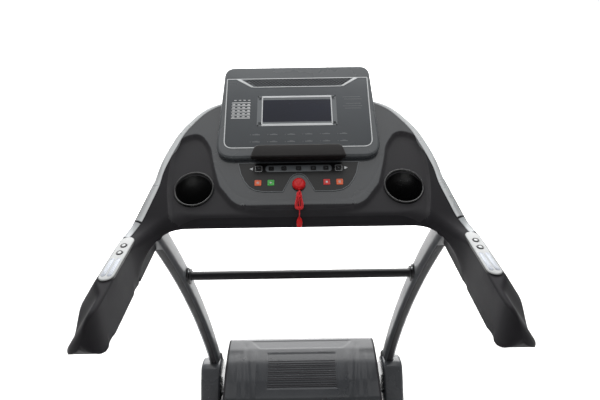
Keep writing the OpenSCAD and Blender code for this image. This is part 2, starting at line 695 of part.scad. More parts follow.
module rear_roller() { color("#9a9da0") roller(rear_roller_y); }
module motor_pulley() {
    color("#6c6e70") {
        rod_x(motor_x1 - 38, pulley_x1, 8, motor_y, motor_z);
        rod_x(pulley_x0, pulley_x1, motor_pulley_dia / 2, motor_y, motor_z);
    }
}
// Outline of a belt round two pulleys, from their common outer tangents
function belt_line(r1, r2, l) = let (a = acos((r1 - r2) / l))
    concat(arc(0, 0, r1, a, 360 - a, 32), arc(l, 0, r2, -a, a, 24));
module drive_belt() {
    l = norm([motor_y - front_roller_y, motor_z - roller_z]);
    t = atan2(motor_z - roller_z, motor_y - front_roller_y);
    color("#161617") translate([0, front_roller_y, roller_z]) rotate([t, 0, 0])
        along_x(pulley_x0 + 0.5, pulley_x1 - 0.5) difference() {
            polygon(belt_line(roller_pulley_dia / 2 + 3.4, motor_pulley_dia / 2 + 3.4, l));
            polygon(belt_line(roller_pulley_dia / 2 + 0.6, motor_pulley_dia / 2 + 0.6, l));
        }
}

// ---------- fold strut ----------
module on_strut() { translate([0, strut_a[0], strut_a[1]]) rotate([strut_turn, 0, 0]) children(); }
module rod_y(y0, y1, r) { translate([0, y0, 0]) rotate([-90, 0, 0]) cylinder(r = r, h = y1 - y0); }
module strut_cylinder() {
    color("#2a2b2d") on_strut() difference() {
        union() {
            rod_y(14, strut_cyl_len, strut_dia / 2);
            rod_x(-6, 6, 9, 0, 0);
            box(-6, 6, 0, 16, -6, 6);
        }
        rod_x(-7, 7, strut_pin_dia / 2 + fit, 0, 0);
        rod_y(30, strut_cyl_len + 1, strut_rod_dia / 2 + fit);
    }
}
module strut_rod() {
    color("#b6b9bc") on_strut() difference() {
        union() {
            rod_y(80, strut_len - 6, strut_rod_dia / 2);
            rod_x(-5.5, 5.5, 8, strut_len, 0);
        }
        rod_x(-7, 7, 4, strut_len, 0);
    }
}

base_rails();
base_cross_tubes();
rail_end_feet();
upright_left();
upright_right();
crossbar();
boots();
frame_bolts();
console_upper();
console_lower();
display_housing();
display_lens();
lcd_module();
console_board();
tablet_ledge();
control_overlay();
cup_liners();
handrails();
side_trims();
keypad_plates();
pulse_plates();
wheel_left();
wheel_right();
safety_key();
key_cord();
cord_hank();
cord_clip();
speed_down_key();
quick_1_key();
quick_2_key();
quick_3_key();
quick_4_key();
quick_5_key();
speed_up_key();
program_key();
start_key();
stop_key();
mode_key();
rail_key_left_front();
rail_key_left_rear();
rail_key_right_front();
rail_key_right_rear();
deck_rails();
deck_cross_tubes();
running_board();
deck_cushions();
running_belt();
foot_rails();
rear_end_caps();
motor_hood();
drive_motor();
motor_controller();
roller_axles();
drive_roller();
rear_roller();
motor_pulley();
drive_belt();
strut_cylinder();
strut_rod();
power_switch();
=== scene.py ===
"""Looks of the folding treadmill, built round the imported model. Metres, +Z up, +Y towards the motor hood."""

import logging
import math
from dataclasses import dataclass
from enum import Enum

import bpy
import bmesh
import numpy as np
from mathutils import Matrix, Vector
from mathutils.geometry import delaunay_2d_cdt


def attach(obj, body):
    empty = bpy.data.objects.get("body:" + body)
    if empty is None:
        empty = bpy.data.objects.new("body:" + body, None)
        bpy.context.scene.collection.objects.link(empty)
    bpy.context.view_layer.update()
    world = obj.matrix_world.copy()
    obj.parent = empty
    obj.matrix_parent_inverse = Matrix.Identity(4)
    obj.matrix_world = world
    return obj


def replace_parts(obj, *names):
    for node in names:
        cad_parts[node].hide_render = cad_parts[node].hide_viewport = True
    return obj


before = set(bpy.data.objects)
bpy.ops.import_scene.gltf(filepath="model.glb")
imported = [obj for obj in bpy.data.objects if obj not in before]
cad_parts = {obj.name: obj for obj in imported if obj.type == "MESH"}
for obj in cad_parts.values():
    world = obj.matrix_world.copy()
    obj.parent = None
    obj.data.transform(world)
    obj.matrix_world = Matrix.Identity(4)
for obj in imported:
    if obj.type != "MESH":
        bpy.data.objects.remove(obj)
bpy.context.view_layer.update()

MM = 0.001
log = logging.getLogger("treadmill")
Point = tuple[float, float, float]
Skin = tuple[np.ndarray, list]  # points and faces


# ---- finishes

def linear_colour(code: str) -> tuple[float, float, float, float]:
    """Turn an sRGB hex colour into linear RGBA.

    Args:
        code: Six hex digits, such as "2b2c2e".

    Returns:
        Linear red, green, blue and an alpha of 1.
    """
    parts = [int(code[i:i + 2], 16) / 255 for i in (0, 2, 4)]
    return (*[c / 12.92 if c <= 0.04045 else ((c + 0.055) / 1.055) ** 2.4 for c in parts], 1.0)


def add_node(tree: bpy.types.NodeTree, kind: str, links: dict | None = None, **settings) -> bpy.types.Node:
    """Add a shader or geometry node.

    Args:
        tree: The tree that gets the node.
        kind: The node's type name.
        links: Input name or number to an output socket, or to a constant.
        **settings: The node's own properties.

    Returns:
        The new node.
    """
    node = tree.nodes.new(kind)
    for name, value in settings.items():
        setattr(node, name, value)
    for name, value in (links or {}).items():
        if isinstance(value, bpy.types.NodeSocket):
            tree.links.new(value, node.inputs[name])
        else:
            node.inputs[name].default_value = value
    return node


class Grain(Enum):
    """How a surface was made, which sets its fine relief."""

    MOULDED = "moulded"      # fine leather-like spark texture of an injection mould
    POLISHED = "polished"    # nearly smooth, faint long waves
    COATED = "coated"        # orange peel of a powder coat
    BRUSHED = "brushed"      # fine lines along X
    WOVEN = "woven"          # crossed threads
    DIAMOND = "diamond"      # crossed ribs of a running belt


@dataclass(frozen=True)
class Finish:
    """One real material: what it is, its colours and how rough it is."""

    name: str
    colour: str
    tint: str = ""
    rough: float = 0.45
    rough_spread: float = 0.06
    metallic: float = 0.0
    ior: float = 1.5
    coat: float = 0.0
    sheen: float = 0.0
    grain: Grain = Grain.MOULDED
    grain_mm: float = 1.0
    relief: float = 0.12
    slot: str = ""

    def material(self) -> bpy.types.Material:
        """Return the Blender material, made on first use."""
        made = bpy.data.materials.get(self.name)
        return made or self._build()

    def _build(self) -> bpy.types.Material:
        """Build the node tree.

        Returns:
            The new material.
        """
        mat = bpy.data.materials.new(self.name)
        mat.use_nodes = True
        tree = mat.node_tree
        shader = tree.nodes["Principled BSDF"]
        place = add_node(tree, "ShaderNodeTexCoord").outputs["Object"]
        broad = add_node(tree, "ShaderNodeTexNoise", {"Vector": place, "Scale": 9.0, "Detail": 4.0})
        ends = add_node(tree, "ShaderNodeMix", {0: broad.outputs["Fac"]}, data_type="RGBA")
        ends.inputs[6].default_value = linear_colour(self.colour)
        ends.inputs[7].default_value = linear_colour(self.tint or self.colour)
        tree.links.new(ends.outputs[2], shader.inputs["Base Color"])
        spread = add_node(tree, "ShaderNodeMapRange", {"Value": broad.outputs["Fac"],
            "From Min": 0.3, "From Max": 0.7, "To Min": max(0.02, self.rough - self.rough_spread),
            "To Max": min(1.0, self.rough + self.rough_spread)})
        tree.links.new(spread.outputs["Result"], shader.inputs["Roughness"])
        relief = self._relief(tree, place)
        bump = add_node(tree, "ShaderNodeBump", {"Height": relief, "Strength": self.relief,
            "Distance": self.grain_mm * MM * 0.4})
        tree.links.new(bump.outputs["Normal"], shader.inputs["Normal"])
        shader.inputs["Metallic"].default_value = self.metallic
        shader.inputs["IOR"].default_value = self.ior
        shader.inputs["Coat Weight"].default_value = self.coat
        shader.inputs["Coat Roughness"].default_value = 0.08
        shader.inputs["Sheen Weight"].default_value = self.sheen
        return mat

    def _relief(self, tree: bpy.types.NodeTree, place: bpy.types.NodeSocket) -> bpy.types.NodeSocket:
        """Make the height pattern of this finish's grain.

        Args:
            tree: The tree that gets the nodes.
            place: The surface point that the pattern reads.

        Returns:
            The pattern's height socket.
        """
        scale = 1 / (self.grain_mm * MM)
        if self.grain is Grain.BRUSHED:
            lines = add_node(tree, "ShaderNodeMapping", {"Vector": place, "Scale": (scale / 60, scale, scale)})
            return add_node(tree, "ShaderNodeTexNoise",
                            {"Vector": lines.outputs[0], "Scale": 1.0, "Detail": 3.0}).outputs["Fac"]
        if self.grain in (Grain.WOVEN, Grain.DIAMOND):
            waves = []
            for turn in (45, -45):
                turned = add_node(tree, "ShaderNodeMapping", {"Vector": place, "Rotation": (0, 0, math.radians(turn))})
                waves.append(add_node(tree, "ShaderNodeTexWave", {"Vector": turned.outputs[0],
                    "Scale": scale / 6.283}).outputs["Fac"])
            return add_node(tree, "ShaderNodeMath", {0: waves[0], 1: waves[1]}, operation="MAXIMUM").outputs[0]
        if self.grain is Grain.MOULDED:
            return add_node(tree, "ShaderNodeTexVoronoi", {"Vector": place, "Scale": scale},
                            feature="SMOOTH_F1").outputs["Distance"]
        detail = 2.0 if self.grain is Grain.COATED else 1.0
        return add_node(tree, "ShaderNodeTexNoise", {"Vector": place, "Scale": scale, "Detail": detail}).outputs["Fac"]


# ---- finishes of this machine

# powder baked on steel: satin black with a faint orange peel
POWDER_BLACK = Finish("powder_coated_steel", "131315", "1a1a1c", 0.42, grain=Grain.COATED, grain_mm=1.6, relief=0.10,
                      ior=1.42, slot="frame_steel")
# enamel sprayed on bent tube: smooth grey with soft, long highlights
UPRIGHT_GREY = Finish("grey_painted_steel_tube", "47494c", "55575a", 0.42, coat=0.2, grain=Grain.COATED, grain_mm=2.0,
                      relief=0.06, slot="upright_paint")
# bright zinc plating: cool, slightly cloudy metal
ZINC = Finish("zinc_plated_steel", "8f9194", "a3a6a8", 0.34, metallic=1.0, grain=Grain.POLISHED, grain_mm=3,
              relief=0.05, slot="zinc_steel")
# lacquer with little flake: an even mid grey
TRIM_GREY = Finish("grey_lacquered_abs", "8b8e90", "9b9ea0", 0.4, metallic=0.3, coat=0.2, grain=Grain.COATED,
                   grain_mm=0.9, relief=0.06, slot="silver_trim")
# steel off the lathe: bright, with fine lines
TURNED = Finish("turned_steel_roller", "8b8e91", "a0a3a5", 0.30, metallic=1.0, grain=Grain.BRUSHED, grain_mm=0.6,
                relief=0.12, slot="roller_steel")
# hard chrome: a clean mirror
CHROME = Finish("hard_chromed_rod", "c4c7ca", "d2d5d7", 0.12, 0.03, metallic=1.0, grain=Grain.POLISHED, grain_mm=8,
                relief=0.03, slot="rod_chrome")
# polished stainless: a dark mirror with a trace of brushing
PULSE_STEEL = Finish("polished_stainless_plate", "6b6e74", "7d8086", 0.32, 0.04, metallic=1.0, grain=Grain.BRUSHED,
                     grain_mm=0.8, relief=0.05, slot="pulse_steel")
# pressed rubber: dull black
FOOT_RUBBER = Finish("moulded_rubber", "161616", "1d1d1d", 0.72, ior=1.52, grain_mm=1.2, relief=0.15,
                     slot="foot_rubber")
# cast polyurethane: satin, nearly black
WHEEL_TYRE = Finish("wheel_polyurethane", "1a1a1b", "232324", 0.5, grain_mm=1.5, relief=0.10, slot="wheel_rubber")
# lacquered moulding: deep gloss with a gunmetal cast
BOOT_ABS = Finish("gunmetal_lacquered_abs", "36383b", "45474b", 0.26, coat=0.4, grain=Grain.POLISHED, grain_mm=6,
                  relief=0.04, slot="boot_plastic")
# high-gloss moulding: broad, clean reflections
SHELL_ABS = Finish("high_gloss_dark_abs", "303235", "3c3f42", 0.24, 0.05, coat=0.25, grain=Grain.POLISHED, grain_mm=14,
                   relief=0.03, slot="console_plastic")
# spark-textured moulding: matt black with a leather grain
UNDER_ABS = Finish("textured_black_abs", "222124", "29282b", 0.55, grain_mm=1.1, relief=0.14, ior=1.33,
                   slot="console_base_plastic")
# lacquered moulding: an even graphite gloss
DISPLAY_ABS = Finish("graphite_lacquered_abs", "43474a", "4e5255", 0.27, 0.04, coat=0.3, grain=Grain.POLISHED,
                     grain_mm=12, relief=0.03, slot="display_plastic")
# film printed on its back: a smooth slate face
LENS_FILM = Finish("printed_polycarbonate_film", "33383c", "3c4146", 0.30, 0.03, grain=Grain.POLISHED, grain_mm=10,
                   relief=0.02, ior=1.5, slot="display_film")
# polarised glass: glossy blue-black
LCD_GLASS = Finish("lcd_polarised_glass", "0a0d1a", "10162a", 0.16, 0.02, grain=Grain.POLISHED, grain_mm=20,
                   relief=0.01, ior=1.35, slot="lcd_glass")
# soft-touch rubber: nearly black, without sharp highlights
LEDGE_RUBBER = Finish("soft_touch_ledge_rubber", "100d0d", "161212", 0.5, grain_mm=0.9, relief=0.12, ior=1.36,
                      slot="ledge_rubber")
# film printed on its back: deep satin black
CONTROL_FILM = Finish("black_printed_film", "070707", "0b0b0c", 0.33, 0.04, grain=Grain.POLISHED, grain_mm=8,
                      relief=0.02, ior=1.42, slot="control_film")
# polished liner: black with a bright edge
CUP_ABS = Finish("black_gloss_cup_liner", "0b0b0c", "131314", 0.3, coat=0.2, grain=Grain.POLISHED, grain_mm=6,
                 relief=0.04, slot="cup_plastic")
# self-skinning foam: a dry, dark, pebbled skin
HANDRAIL_PU = Finish("moulded_handrail_foam_skin", "1f1e21", "262528", 0.6, grain_mm=1.4, relief=0.14, ior=1.22,
                     slot="handrail_plastic")
# silver lacquer: fine metal flake under a clear coat
SILVER_ABS = Finish("silver_lacquered_abs", "aeb1b2", "bec0c1", 0.30, metallic=0.35, coat=0.35, grain=Grain.COATED,
                    grain_mm=1.2, relief=0.04, slot="silver_trim")
# pearl lacquer: pale grey without glints
KEYPAD_ABS = Finish("pearl_lacquered_keypad", "8c8e8e", "9a9c9c", 0.30, coat=0.3, grain=Grain.COATED, grain_mm=1.0,
                    relief=0.03, metallic=0.0, slot="keypad_plastic")
# moulded in its colour: a clear signal red
RED_ABS = Finish("signal_red_abs", "cc060c", "dc1016", 0.3, 0.04, ior=1.38, coat=0.1, grain=Grain.POLISHED, grain_mm=6,
                 relief=0.03, slot="key_red_plastic")
# braided nylon: crossed threads, drawn coarser than real so that they show
RED_NYLON = Finish("red_braided_nylon", "c80a12", "e0202a", 0.6, ior=1.35, sheen=0.15, grain=Grain.WOVEN, grain_mm=0.9,
                   relief=0.5, slot="cord_nylon")
# epoxy solder mask: satin green
SOLDER_MASK = Finish("solder_mask_board", "1c4f32", "22603d", 0.42, grain=Grain.POLISHED, grain_mm=3, relief=0.05,
                     slot="circuit_board")
# phenolic film pressed on board: brown-black satin
BOARD_FILM = Finish("phenolic_filmed_board", "282724", "312f2b", 0.38, grain=Grain.COATED, grain_mm=1.0, relief=0.08,
                    slot="board_laminate")
# embossed PVC: small crossed diamonds that break up any shine
BELT_PVC = Finish("diamond_faced_pvc_belt", "17181a", "1e1f21", 0.62, grain=Grain.DIAMOND, grain_mm=2.6, relief=0.55,
                  slot="belt_pvc")
# textured moulding: dry charcoal
FOOTRAIL_ABS = Finish("ribbed_footrail_abs", "27282a", "303134", 0.5, grain_mm=1.3, relief=0.15,
                      slot="foot_rail_plastic")
# half-gloss moulding: graphite with wide, soft highlights
HOOD_ABS = Finish("graphite_hood_abs", "232528", "2e3034", 0.32, 0.06, coat=0.2, grain=Grain.POLISHED, grain_mm=10,
                  relief=0.04, slot="hood_plastic")
# dipped enamel: plain mid grey
MOTOR_PAINT = Finish("grey_motor_enamel", "5b5d60", "6a6c6f", 0.4, grain=Grain.COATED, grain_mm=1.2, relief=0.08,
                     slot="motor_steel")
# ribbed rubber: dull black with lines along it
BELT_RUBBER = Finish("ribbed_drive_belt_rubber", "131313", "1a1a1a", 0.66, grain=Grain.BRUSHED, grain_mm=1.0,
                     relief=0.2, slot="drive_rubber")
# moulded nylon: red with a low gloss
SWITCH_RED = Finish("red_rocker_nylon", "b5161d", "c5222a", 0.32, grain_mm=0.8, relief=0.08, slot="switch_plastic")
# moulded silicone keys: soft colour, no sharp highlight
KEY_BLACK = Finish("black_key_silicone", "0f0f10", "151516", 0.42, grain_mm=0.7, relief=0.08, slot="key_black")
KEY_ORANGE = Finish("orange_key_silicone", "df5a2b", "ea6c3c", 0.42, grain_mm=0.7, relief=0.08, slot="key_orange")
KEY_RED = Finish("red_key_silicone", "cf2b2b", "dc3a36", 0.42, grain_mm=0.7, relief=0.08, slot="key_red")
KEY_GREEN = Finish("green_key_silicone", "3fae45", "4fbb55", 0.42, grain_mm=0.7, relief=0.08, slot="key_green")
# screen-printed inks: flat, with crisp edges
PRINT_SILVER = Finish("silver_screen_print", "b9bcbd", "cfd1d2", 0.4, metallic=0.3, grain=Grain.COATED, grain_mm=0.8,
                      relief=0.03, slot="display_film")
PRINT_WHITE = Finish("white_screen_print", "c9cbcc", "dcdddd", 0.5, grain=Grain.COATED, grain_mm=0.8, relief=0.03,
                     slot="display_film")
PRINT_GREY = Finish("grey_screen_print", "5d6164", "696d70", 0.45, grain=Grain.COATED, grain_mm=0.8, relief=0.03,
                    slot="display_film")

NODE_FINISH: dict[str, Finish] = {
    "base_rails": POWDER_BLACK, "base_cross_tubes": POWDER_BLACK, "rail_end_feet": FOOT_RUBBER,
    "upright_left": UPRIGHT_GREY, "upright_right": UPRIGHT_GREY, "crossbar": POWDER_BLACK,
    "boots": BOOT_ABS, "frame_bolts": ZINC, "console_upper": SHELL_ABS, "console_lower": UNDER_ABS,
    "display_housing": DISPLAY_ABS, "display_lens": LENS_FILM, "lcd_module": LCD_GLASS,
    "console_board": SOLDER_MASK, "tablet_ledge": LEDGE_RUBBER, "control_overlay": CONTROL_FILM,
    "cup_liners": CUP_ABS, "handrails": HANDRAIL_PU, "side_trims": SILVER_ABS,
    "keypad_plates": KEYPAD_ABS, "pulse_plates": PULSE_STEEL, "wheel_left": WHEEL_TYRE,
    "wheel_right": WHEEL_TYRE, "safety_key": RED_ABS, "key_cord": RED_NYLON, "cord_hank": RED_NYLON,
    "cord_clip": RED_ABS, "deck_rails": POWDER_BLACK, "deck_cross_tubes": POWDER_BLACK,
    "running_board": BOARD_FILM, "deck_cushions": FOOT_RUBBER, "running_belt": BELT_PVC,
    "foot_rails": FOOTRAIL_ABS, "rear_end_caps": UNDER_ABS, "motor_hood": HOOD_ABS,
    "drive_motor": MOTOR_PAINT, "motor_controller": SOLDER_MASK, "roller_axles": ZINC,
    "drive_roller": TURNED, "rear_roller": TURNED, "motor_pulley": TURNED, "drive_belt": BELT_RUBBER,
    "strut_cylinder": POWDER_BLACK, "strut_rod": CHROME, "power_switch": SWITCH_RED,
    "program_key": KEY_ORANGE, "mode_key": KEY_ORANGE, "start_key": KEY_GREEN, "stop_key": KEY_RED,
}


# ---- mesh helpers

SIDES = ((-1, "left"), (1, "right"))


@dataclass(frozen=True)
class Plane:
    """A tilted work plane: local x runs along +X, v up the slope and h along its normal."""

    origin: Point
    tilt: float

    def place(self, points: np.ndarray) -> np.ndarray:
        """Turn local (x, v, h) points into the object's frame.

        Args:
            points: Points on the plane, in millimetres.

        Returns:
            The same points in the object's frame.
        """
        p = np.asarray(points, float)
        c, s = math.cos(self.tilt), math.sin(self.tilt)
        y = p[..., 1] * c - p[..., 2] * s
        z = p[..., 1] * s + p[..., 2] * c
        return np.stack([p[..., 0] + self.origin[0], y + self.origin[1], z + self.origin[2]], -1)


FLAT = Plane((0, 0, 0), 0.0)
CONSOLE = Plane((0, 360, 1100), math.radians(38))
DISPLAY = Plane((0, 466, 1200.7), math.radians(44.3))
ARM = Plane((0, 0, 1025), math.radians(9))


def make_object(name: str, verts: np.ndarray, faces: list, finish: Finish, body: str,
                smooth_angle: float = 35.0, normals: np.ndarray | None = None) -> bpy.types.Object:
    """Make a mesh object that rides on a body.

    Args:
        name: The piece's name.
        verts: Its points, in millimetres.
        faces: Its faces, as lists of point numbers.
        finish: Its material.
        body: The body that it rides on.
        smooth_angle: Edges sharper than this many degrees stay sharp.
        normals: One normal a point, where they are known better than the faces tell.

    Returns:
        The new object.
    """
    mesh = bpy.data.meshes.new(name)
    mesh.from_pydata([tuple(v) for v in np.asarray(verts, float) * MM], [], [tuple(int(i) for i in f) for f in faces])
    mesh.validate()
    bm = bmesh.new()
    bm.from_mesh(mesh)
    if normals is None:
        bmesh.ops.recalc_face_normals(bm, faces=bm.faces)
    bm.to_mesh(mesh)
    bm.free()
    obj = bpy.data.objects.new(name, mesh)
    bpy.context.collection.objects.link(obj)
    mesh.materials.append(finish.material())
    mesh.polygons.foreach_set("use_smooth", [True] * len(mesh.polygons))
    mesh.set_sharp_from_angle(angle=math.radians(smooth_angle))
    if normals is not None:
        mesh.normals_split_custom_set_from_vertices([tuple(n) for n in normals])
    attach(obj, body)
    log.info("%s: %d faces on %s", name, len(mesh.polygons), body)
    return obj


def at_height(outline: np.ndarray, h: float) -> np.ndarray:
    """A flat outline as points at one height."""
    return np.column_stack([outline, np.full(len(outline), h)])


def rings_to_mesh(rings: list[np.ndarray], cap_start: bool = True, cap_end: bool = True,
                  closed: bool = True) -> Skin:
    """Join rings of equally many points into a skin.

    Args:
        rings: The rings, each an array of points.
        cap_start: Whether the first ring is filled.
        cap_end: Whether the last ring is filled.
        closed: Whether each ring closes on itself.

    Returns:
        Points and faces.
    """
    n = len(rings[0])
    verts = np.concatenate(rings)
    faces = []
    for k in range(len(rings) - 1):
        for i in range(n if closed else n - 1):
            j = (i + 1) % n
            faces.append([k * n + i, k * n + j, (k + 1) * n + j, (k + 1) * n + i])
    if cap_start:
        faces.append(list(range(n))[::-1])
    if cap_end:
        faces.append([(len(rings) - 1) * n + i for i in range(n)])
    return verts, faces


def merge(parts: list[Skin]) -> Skin:
    """Put several meshes' points and faces into one.

    Args:
        parts: Points and faces of each mesh.

    Returns:
        Points and faces.
    """
    verts, faces, start = [], [], 0
    for v, f in parts:
        verts.append(np.asarray(v, float))
        faces += [[start + i for i in face] for face in f]
        start += len(v)
    return np.concatenate(verts), faces


def rounded_outline(w: float, h: float, radii: tuple[float, float, float, float] | float, steps: int = 6) -> np.ndarray:
    """Outline of a rounded rectangle, counter-clockwise from the lower right corner.

    Args:
        w: Width.
        h: Height.
        radii: One radius, or four from lower right to lower left.
        steps: Segments in each corner.

    Returns:
        Its points, centred on the origin.
    """
    r4 = (radii,) * 4 if isinstance(radii, (int, float)) else radii
    pts = []
    for (sx, sy, start), r in zip(((1, -1, -90), (1, 1, 0), (-1, 1, 90), (-1, -1, 180)), r4):
        cx, cy = sx * (w / 2 - r), sy * (h / 2 - r)
        for i in range(steps + 1):
            a = math.radians(start + 90 * i / steps)
            pts.append((cx + r * math.cos(a), cy + r * math.sin(a)))
    return np.array(pts)


def inset_outline(pts: np.ndarray, d: float) -> np.ndarray:
    """Move each point of a counter-clockwise outline inwards.

    Args:
        pts: The outline.
        d: How far, in millimetres, or one distance a point.

    Returns:
        The moved points.
    """
    a, c = np.roll(pts, 1, 0), np.roll(pts, -1, 0)
    t1, t2 = pts - a, c - pts
    t1 /= np.maximum(np.linalg.norm(t1, axis=1, keepdims=True), 1e-9)
    t2 /= np.maximum(np.linalg.norm(t2, axis=1, keepdims=True), 1e-9)
    n1, n2 = np.stack([-t1[:, 1], t1[:, 0]], 1), np.stack([-t2[:, 1], t2[:, 0]], 1)
    m = n1 + n2
    m /= np.maximum(np.linalg.norm(m, axis=1, keepdims=True), 1e-9)
    return pts + m * d / np.maximum((m * n1).sum(1, keepdims=True), 0.5)


def slab(outline: np.ndarray, h0: float, h1: float, bevel: float, plane: Plane = FLAT,
         both: bool = False, steps: int = 3) -> Skin:
    """A plate with a rounded upper edge, and a rounded lower edge too if asked.

    Args:
        outline: Its counter-clockwise outline in (x, v).
        h0: Height of its underside.
        h1: Height of its top.
        bevel: Radius of the edge.
        plane: The plane that it is built on.
        both: Whether the lower edge is rounded as well.
        steps: Segments in the rounding.

    Returns:
        Points and faces.
    """
    def ring(d: float, h: float) -> np.ndarray:
        """One ring at an inset and a height."""
        return at_height(inset_outline(outline, d) if d else outline, h)
    turn = [math.pi / 2 * i / steps for i in range(steps + 1)]
    rings = []
    if both:
        rings += [ring(bevel * (1 - math.sin(a)), h0 + bevel * (1 - math.cos(a))) for a in turn]
    else:
        rings.append(ring(0, h0))
    rings += [ring(bevel * (1 - math.cos(a)), h1 - bevel * (1 - math.sin(a))) for a in turn]
    verts, faces = rings_to_mesh(rings)
    return plane.place(verts), faces


def frame_strip(outer: np.ndarray, width: float, h0: float, h1: float, plane: Plane) -> Skin:
    """A closed raised strip between an outline and the same outline moved inwards.

    Args:
        outer: The outline.
        width: How far its twin is moved.
        h0: Height of the underside.
        h1: Height of the top.
        plane: The plane that it is built on.

    Returns:
        Points and faces.
    """
    inner = inset_outline(outer, width)
    rings = [at_height(p, h) for p, h in ((outer, h0), (outer, h1), (inner, h1), (inner, h0))]
    verts, faces = rings_to_mesh(rings + [rings[0]], False, False)
    return plane.place(verts), faces


def lathe(profile: np.ndarray, centre: Point, axis: str = "x",
          steps: int = 48, close: bool = True) -> Skin:
    """Turn a profile of (along, radius) points about an axis through a point.

    Args:
        profile: Points along the axis and their radii.
        centre: A point on the axis.
        axis: "x", "y" or "z".
        steps: Segments round the axis.
        close: Whether the ends are filled.

    Returns:
        Points and faces.
    """
    rings = []
    for along, r in profile:
        a = np.linspace(0, 2 * math.pi, steps, endpoint=False)
        u, v, w = np.cos(a) * r, np.sin(a) * r, np.full(steps, along)
        p = {"x": (w, u, v), "y": (u, w, v), "z": (u, v, w)}[axis]
        rings.append(np.stack(p, 1) + np.array(centre))
    return rings_to_mesh(rings, close, close)


def swept_tube(path: np.ndarray, radius: float, sides: int = 10) -> Skin:
    """A round tube along a path of points, with turning-free rings.

    Args:
        path: The centre line.
        radius: The tube's radius.
        sides: Segments round it.

    Returns:
        Points and faces.
    """
    path = np.asarray(path, float)
    tangents = np.gradient(path, axis=0)
    tangents /= np.linalg.norm(tangents, axis=1, keepdims=True)
    side = np.cross(tangents[0], (1.0, 0.2, 0.1))
    rings = []
    for p, t in zip(path, tangents):
        side = side - t * side.dot(t)
        side /= np.linalg.norm(side)
        other = np.cross(t, side)
        a = np.linspace(0, 2 * math.pi, sides, endpoint=False)[:, None]
        rings.append(p + radius * (np.cos(a) * side + np.sin(a) * other))
    return rings_to_mesh(rings)


def smooth_path(points: list, count: int) -> np.ndarray:
    """Catmull-Rom curve through given points, with points evenly spread along it.

    Args:
        points: The points to pass through.
        count: How many points to return.

    Returns:
        The curve.
    """
    p = np.asarray(points, float)
    p = np.vstack([2 * p[0] - p[1], p, 2 * p[-1] - p[-2]])
    fine = []
    for i in range(1, len(p) - 2):
        for t in np.linspace(0, 1, 16, endpoint=False):
            a, b, c, d = p[i - 1], p[i], p[i + 1], p[i + 2]
            fine.append(0.5 * (2 * b + (c - a) * t + (2 * a - 5 * b + 4 * c - d) * t ** 2
                               + (3 * b - a - 3 * c + d) * t ** 3))
    fine = np.array(fine + [p[-2]])
    s = np.r_[0, np.cumsum(np.linalg.norm(np.diff(fine, axis=0), axis=1))]
    return np.stack([np.interp(np.linspace(0, s[-1], count), s, fine[:, k]) for k in range(fine.shape[1])], 1)


def mirrored(part: Skin) -> Skin:
    """A mesh and its mirror image across the middle plane, as one.

    Args:
        part: Points and faces.

    Returns:
        Points and faces.
    """
    verts, faces = part
    twin = np.asarray(verts, float) * (-1, 1, 1)
    return merge([(verts, faces), (twin, [list(f)[::-1] for f in faces])])


def repeat_on_points(name: str, points: np.ndarray, unit: Skin, turn: Point | np.ndarray,
                     finish: Finish, body: str, smooth_angle: float = 30.0) -> bpy.types.Object:
    """Repeat a small mesh on points with a geometry-node tree, and make the result one plain mesh.

    Args:
        name: The piece's name.
        points: Where each copy goes, in millimetres.
        unit: The small mesh, in millimetres round its own origin.
        turn: The turn of every copy as three angles, or one turn a point.
        finish: Its material.
        body: The body that it rides on.
        smooth_angle: Edges sharper than this many degrees stay sharp.

    Returns:
        The new object.
    """
    host_mesh = bpy.data.meshes.new(name + "_points")
    host_mesh.from_pydata([tuple(p) for p in np.asarray(points, float) * MM], [], [])
    turns = np.broadcast_to(np.asarray(turn, float), (len(points), 3))
    host_mesh.attributes.new("turn", "FLOAT_VECTOR", "POINT").data.foreach_set("vector", turns.ravel())
    host = bpy.data.objects.new(name + "_points", host_mesh)
    unit_mesh = bpy.data.meshes.new(name + "_unit")
    unit_mesh.from_pydata([tuple(p) for p in np.asarray(unit[0], float) * MM], [], unit[1])
    copy = bpy.data.objects.new(name + "_unit", unit_mesh)
    for obj in (host, copy):
        bpy.context.collection.objects.link(obj)
    tree = bpy.data.node_groups.new(name + "_repeat", "GeometryNodeTree")
    sockets = {}
    for label, kind in (("Points", "NodeSocketGeometry"), ("Unit", "NodeSocketObject"),
                        ("Finish", "NodeSocketMaterial")):
        sockets[label] = tree.interface.new_socket(label, in_out="INPUT", socket_type=kind).identifier
    tree.interface.new_socket("Piece", in_out="OUTPUT", socket_type="NodeSocketGeometry")
    given = add_node(tree, "NodeGroupInput")
    info = add_node(tree, "GeometryNodeObjectInfo", {"Object": given.outputs["Unit"]})
    turned = add_node(tree, "GeometryNodeInputNamedAttribute", {"Name": "turn"}, data_type="FLOAT_VECTOR")
    copies = add_node(tree, "GeometryNodeInstanceOnPoints", {"Points": given.outputs["Points"],
        "Instance": info.outputs["Geometry"], "Rotation": turned.outputs["Attribute"]})
    real = add_node(tree, "GeometryNodeRealizeInstances", {"Geometry": copies.outputs["Instances"]})
    dressed = add_node(tree, "GeometryNodeSetMaterial",
                       {"Geometry": real.outputs["Geometry"], "Material": given.outputs["Finish"]})
    add_node(tree, "NodeGroupOutput", {"Piece": dressed.outputs["Geometry"]})
    modifier = host.modifiers.new("repeat", "NODES")
    modifier.node_group = tree
    modifier[sockets["Unit"]] = copy
    modifier[sockets["Finish"]] = finish.material()
    made = bpy.data.meshes.new_from_object(host.evaluated_get(bpy.context.evaluated_depsgraph_get()))
    verts = np.zeros(len(made.vertices) * 3)
    made.vertices.foreach_get("co", verts)
    faces = [list(p.vertices) for p in made.polygons]
    for obj in (host, copy):
        bpy.data.objects.remove(obj)
    bpy.data.meshes.remove(made)
    return make_object(name, verts.reshape(-1, 3) / MM, faces, finish, body, smooth_angle)


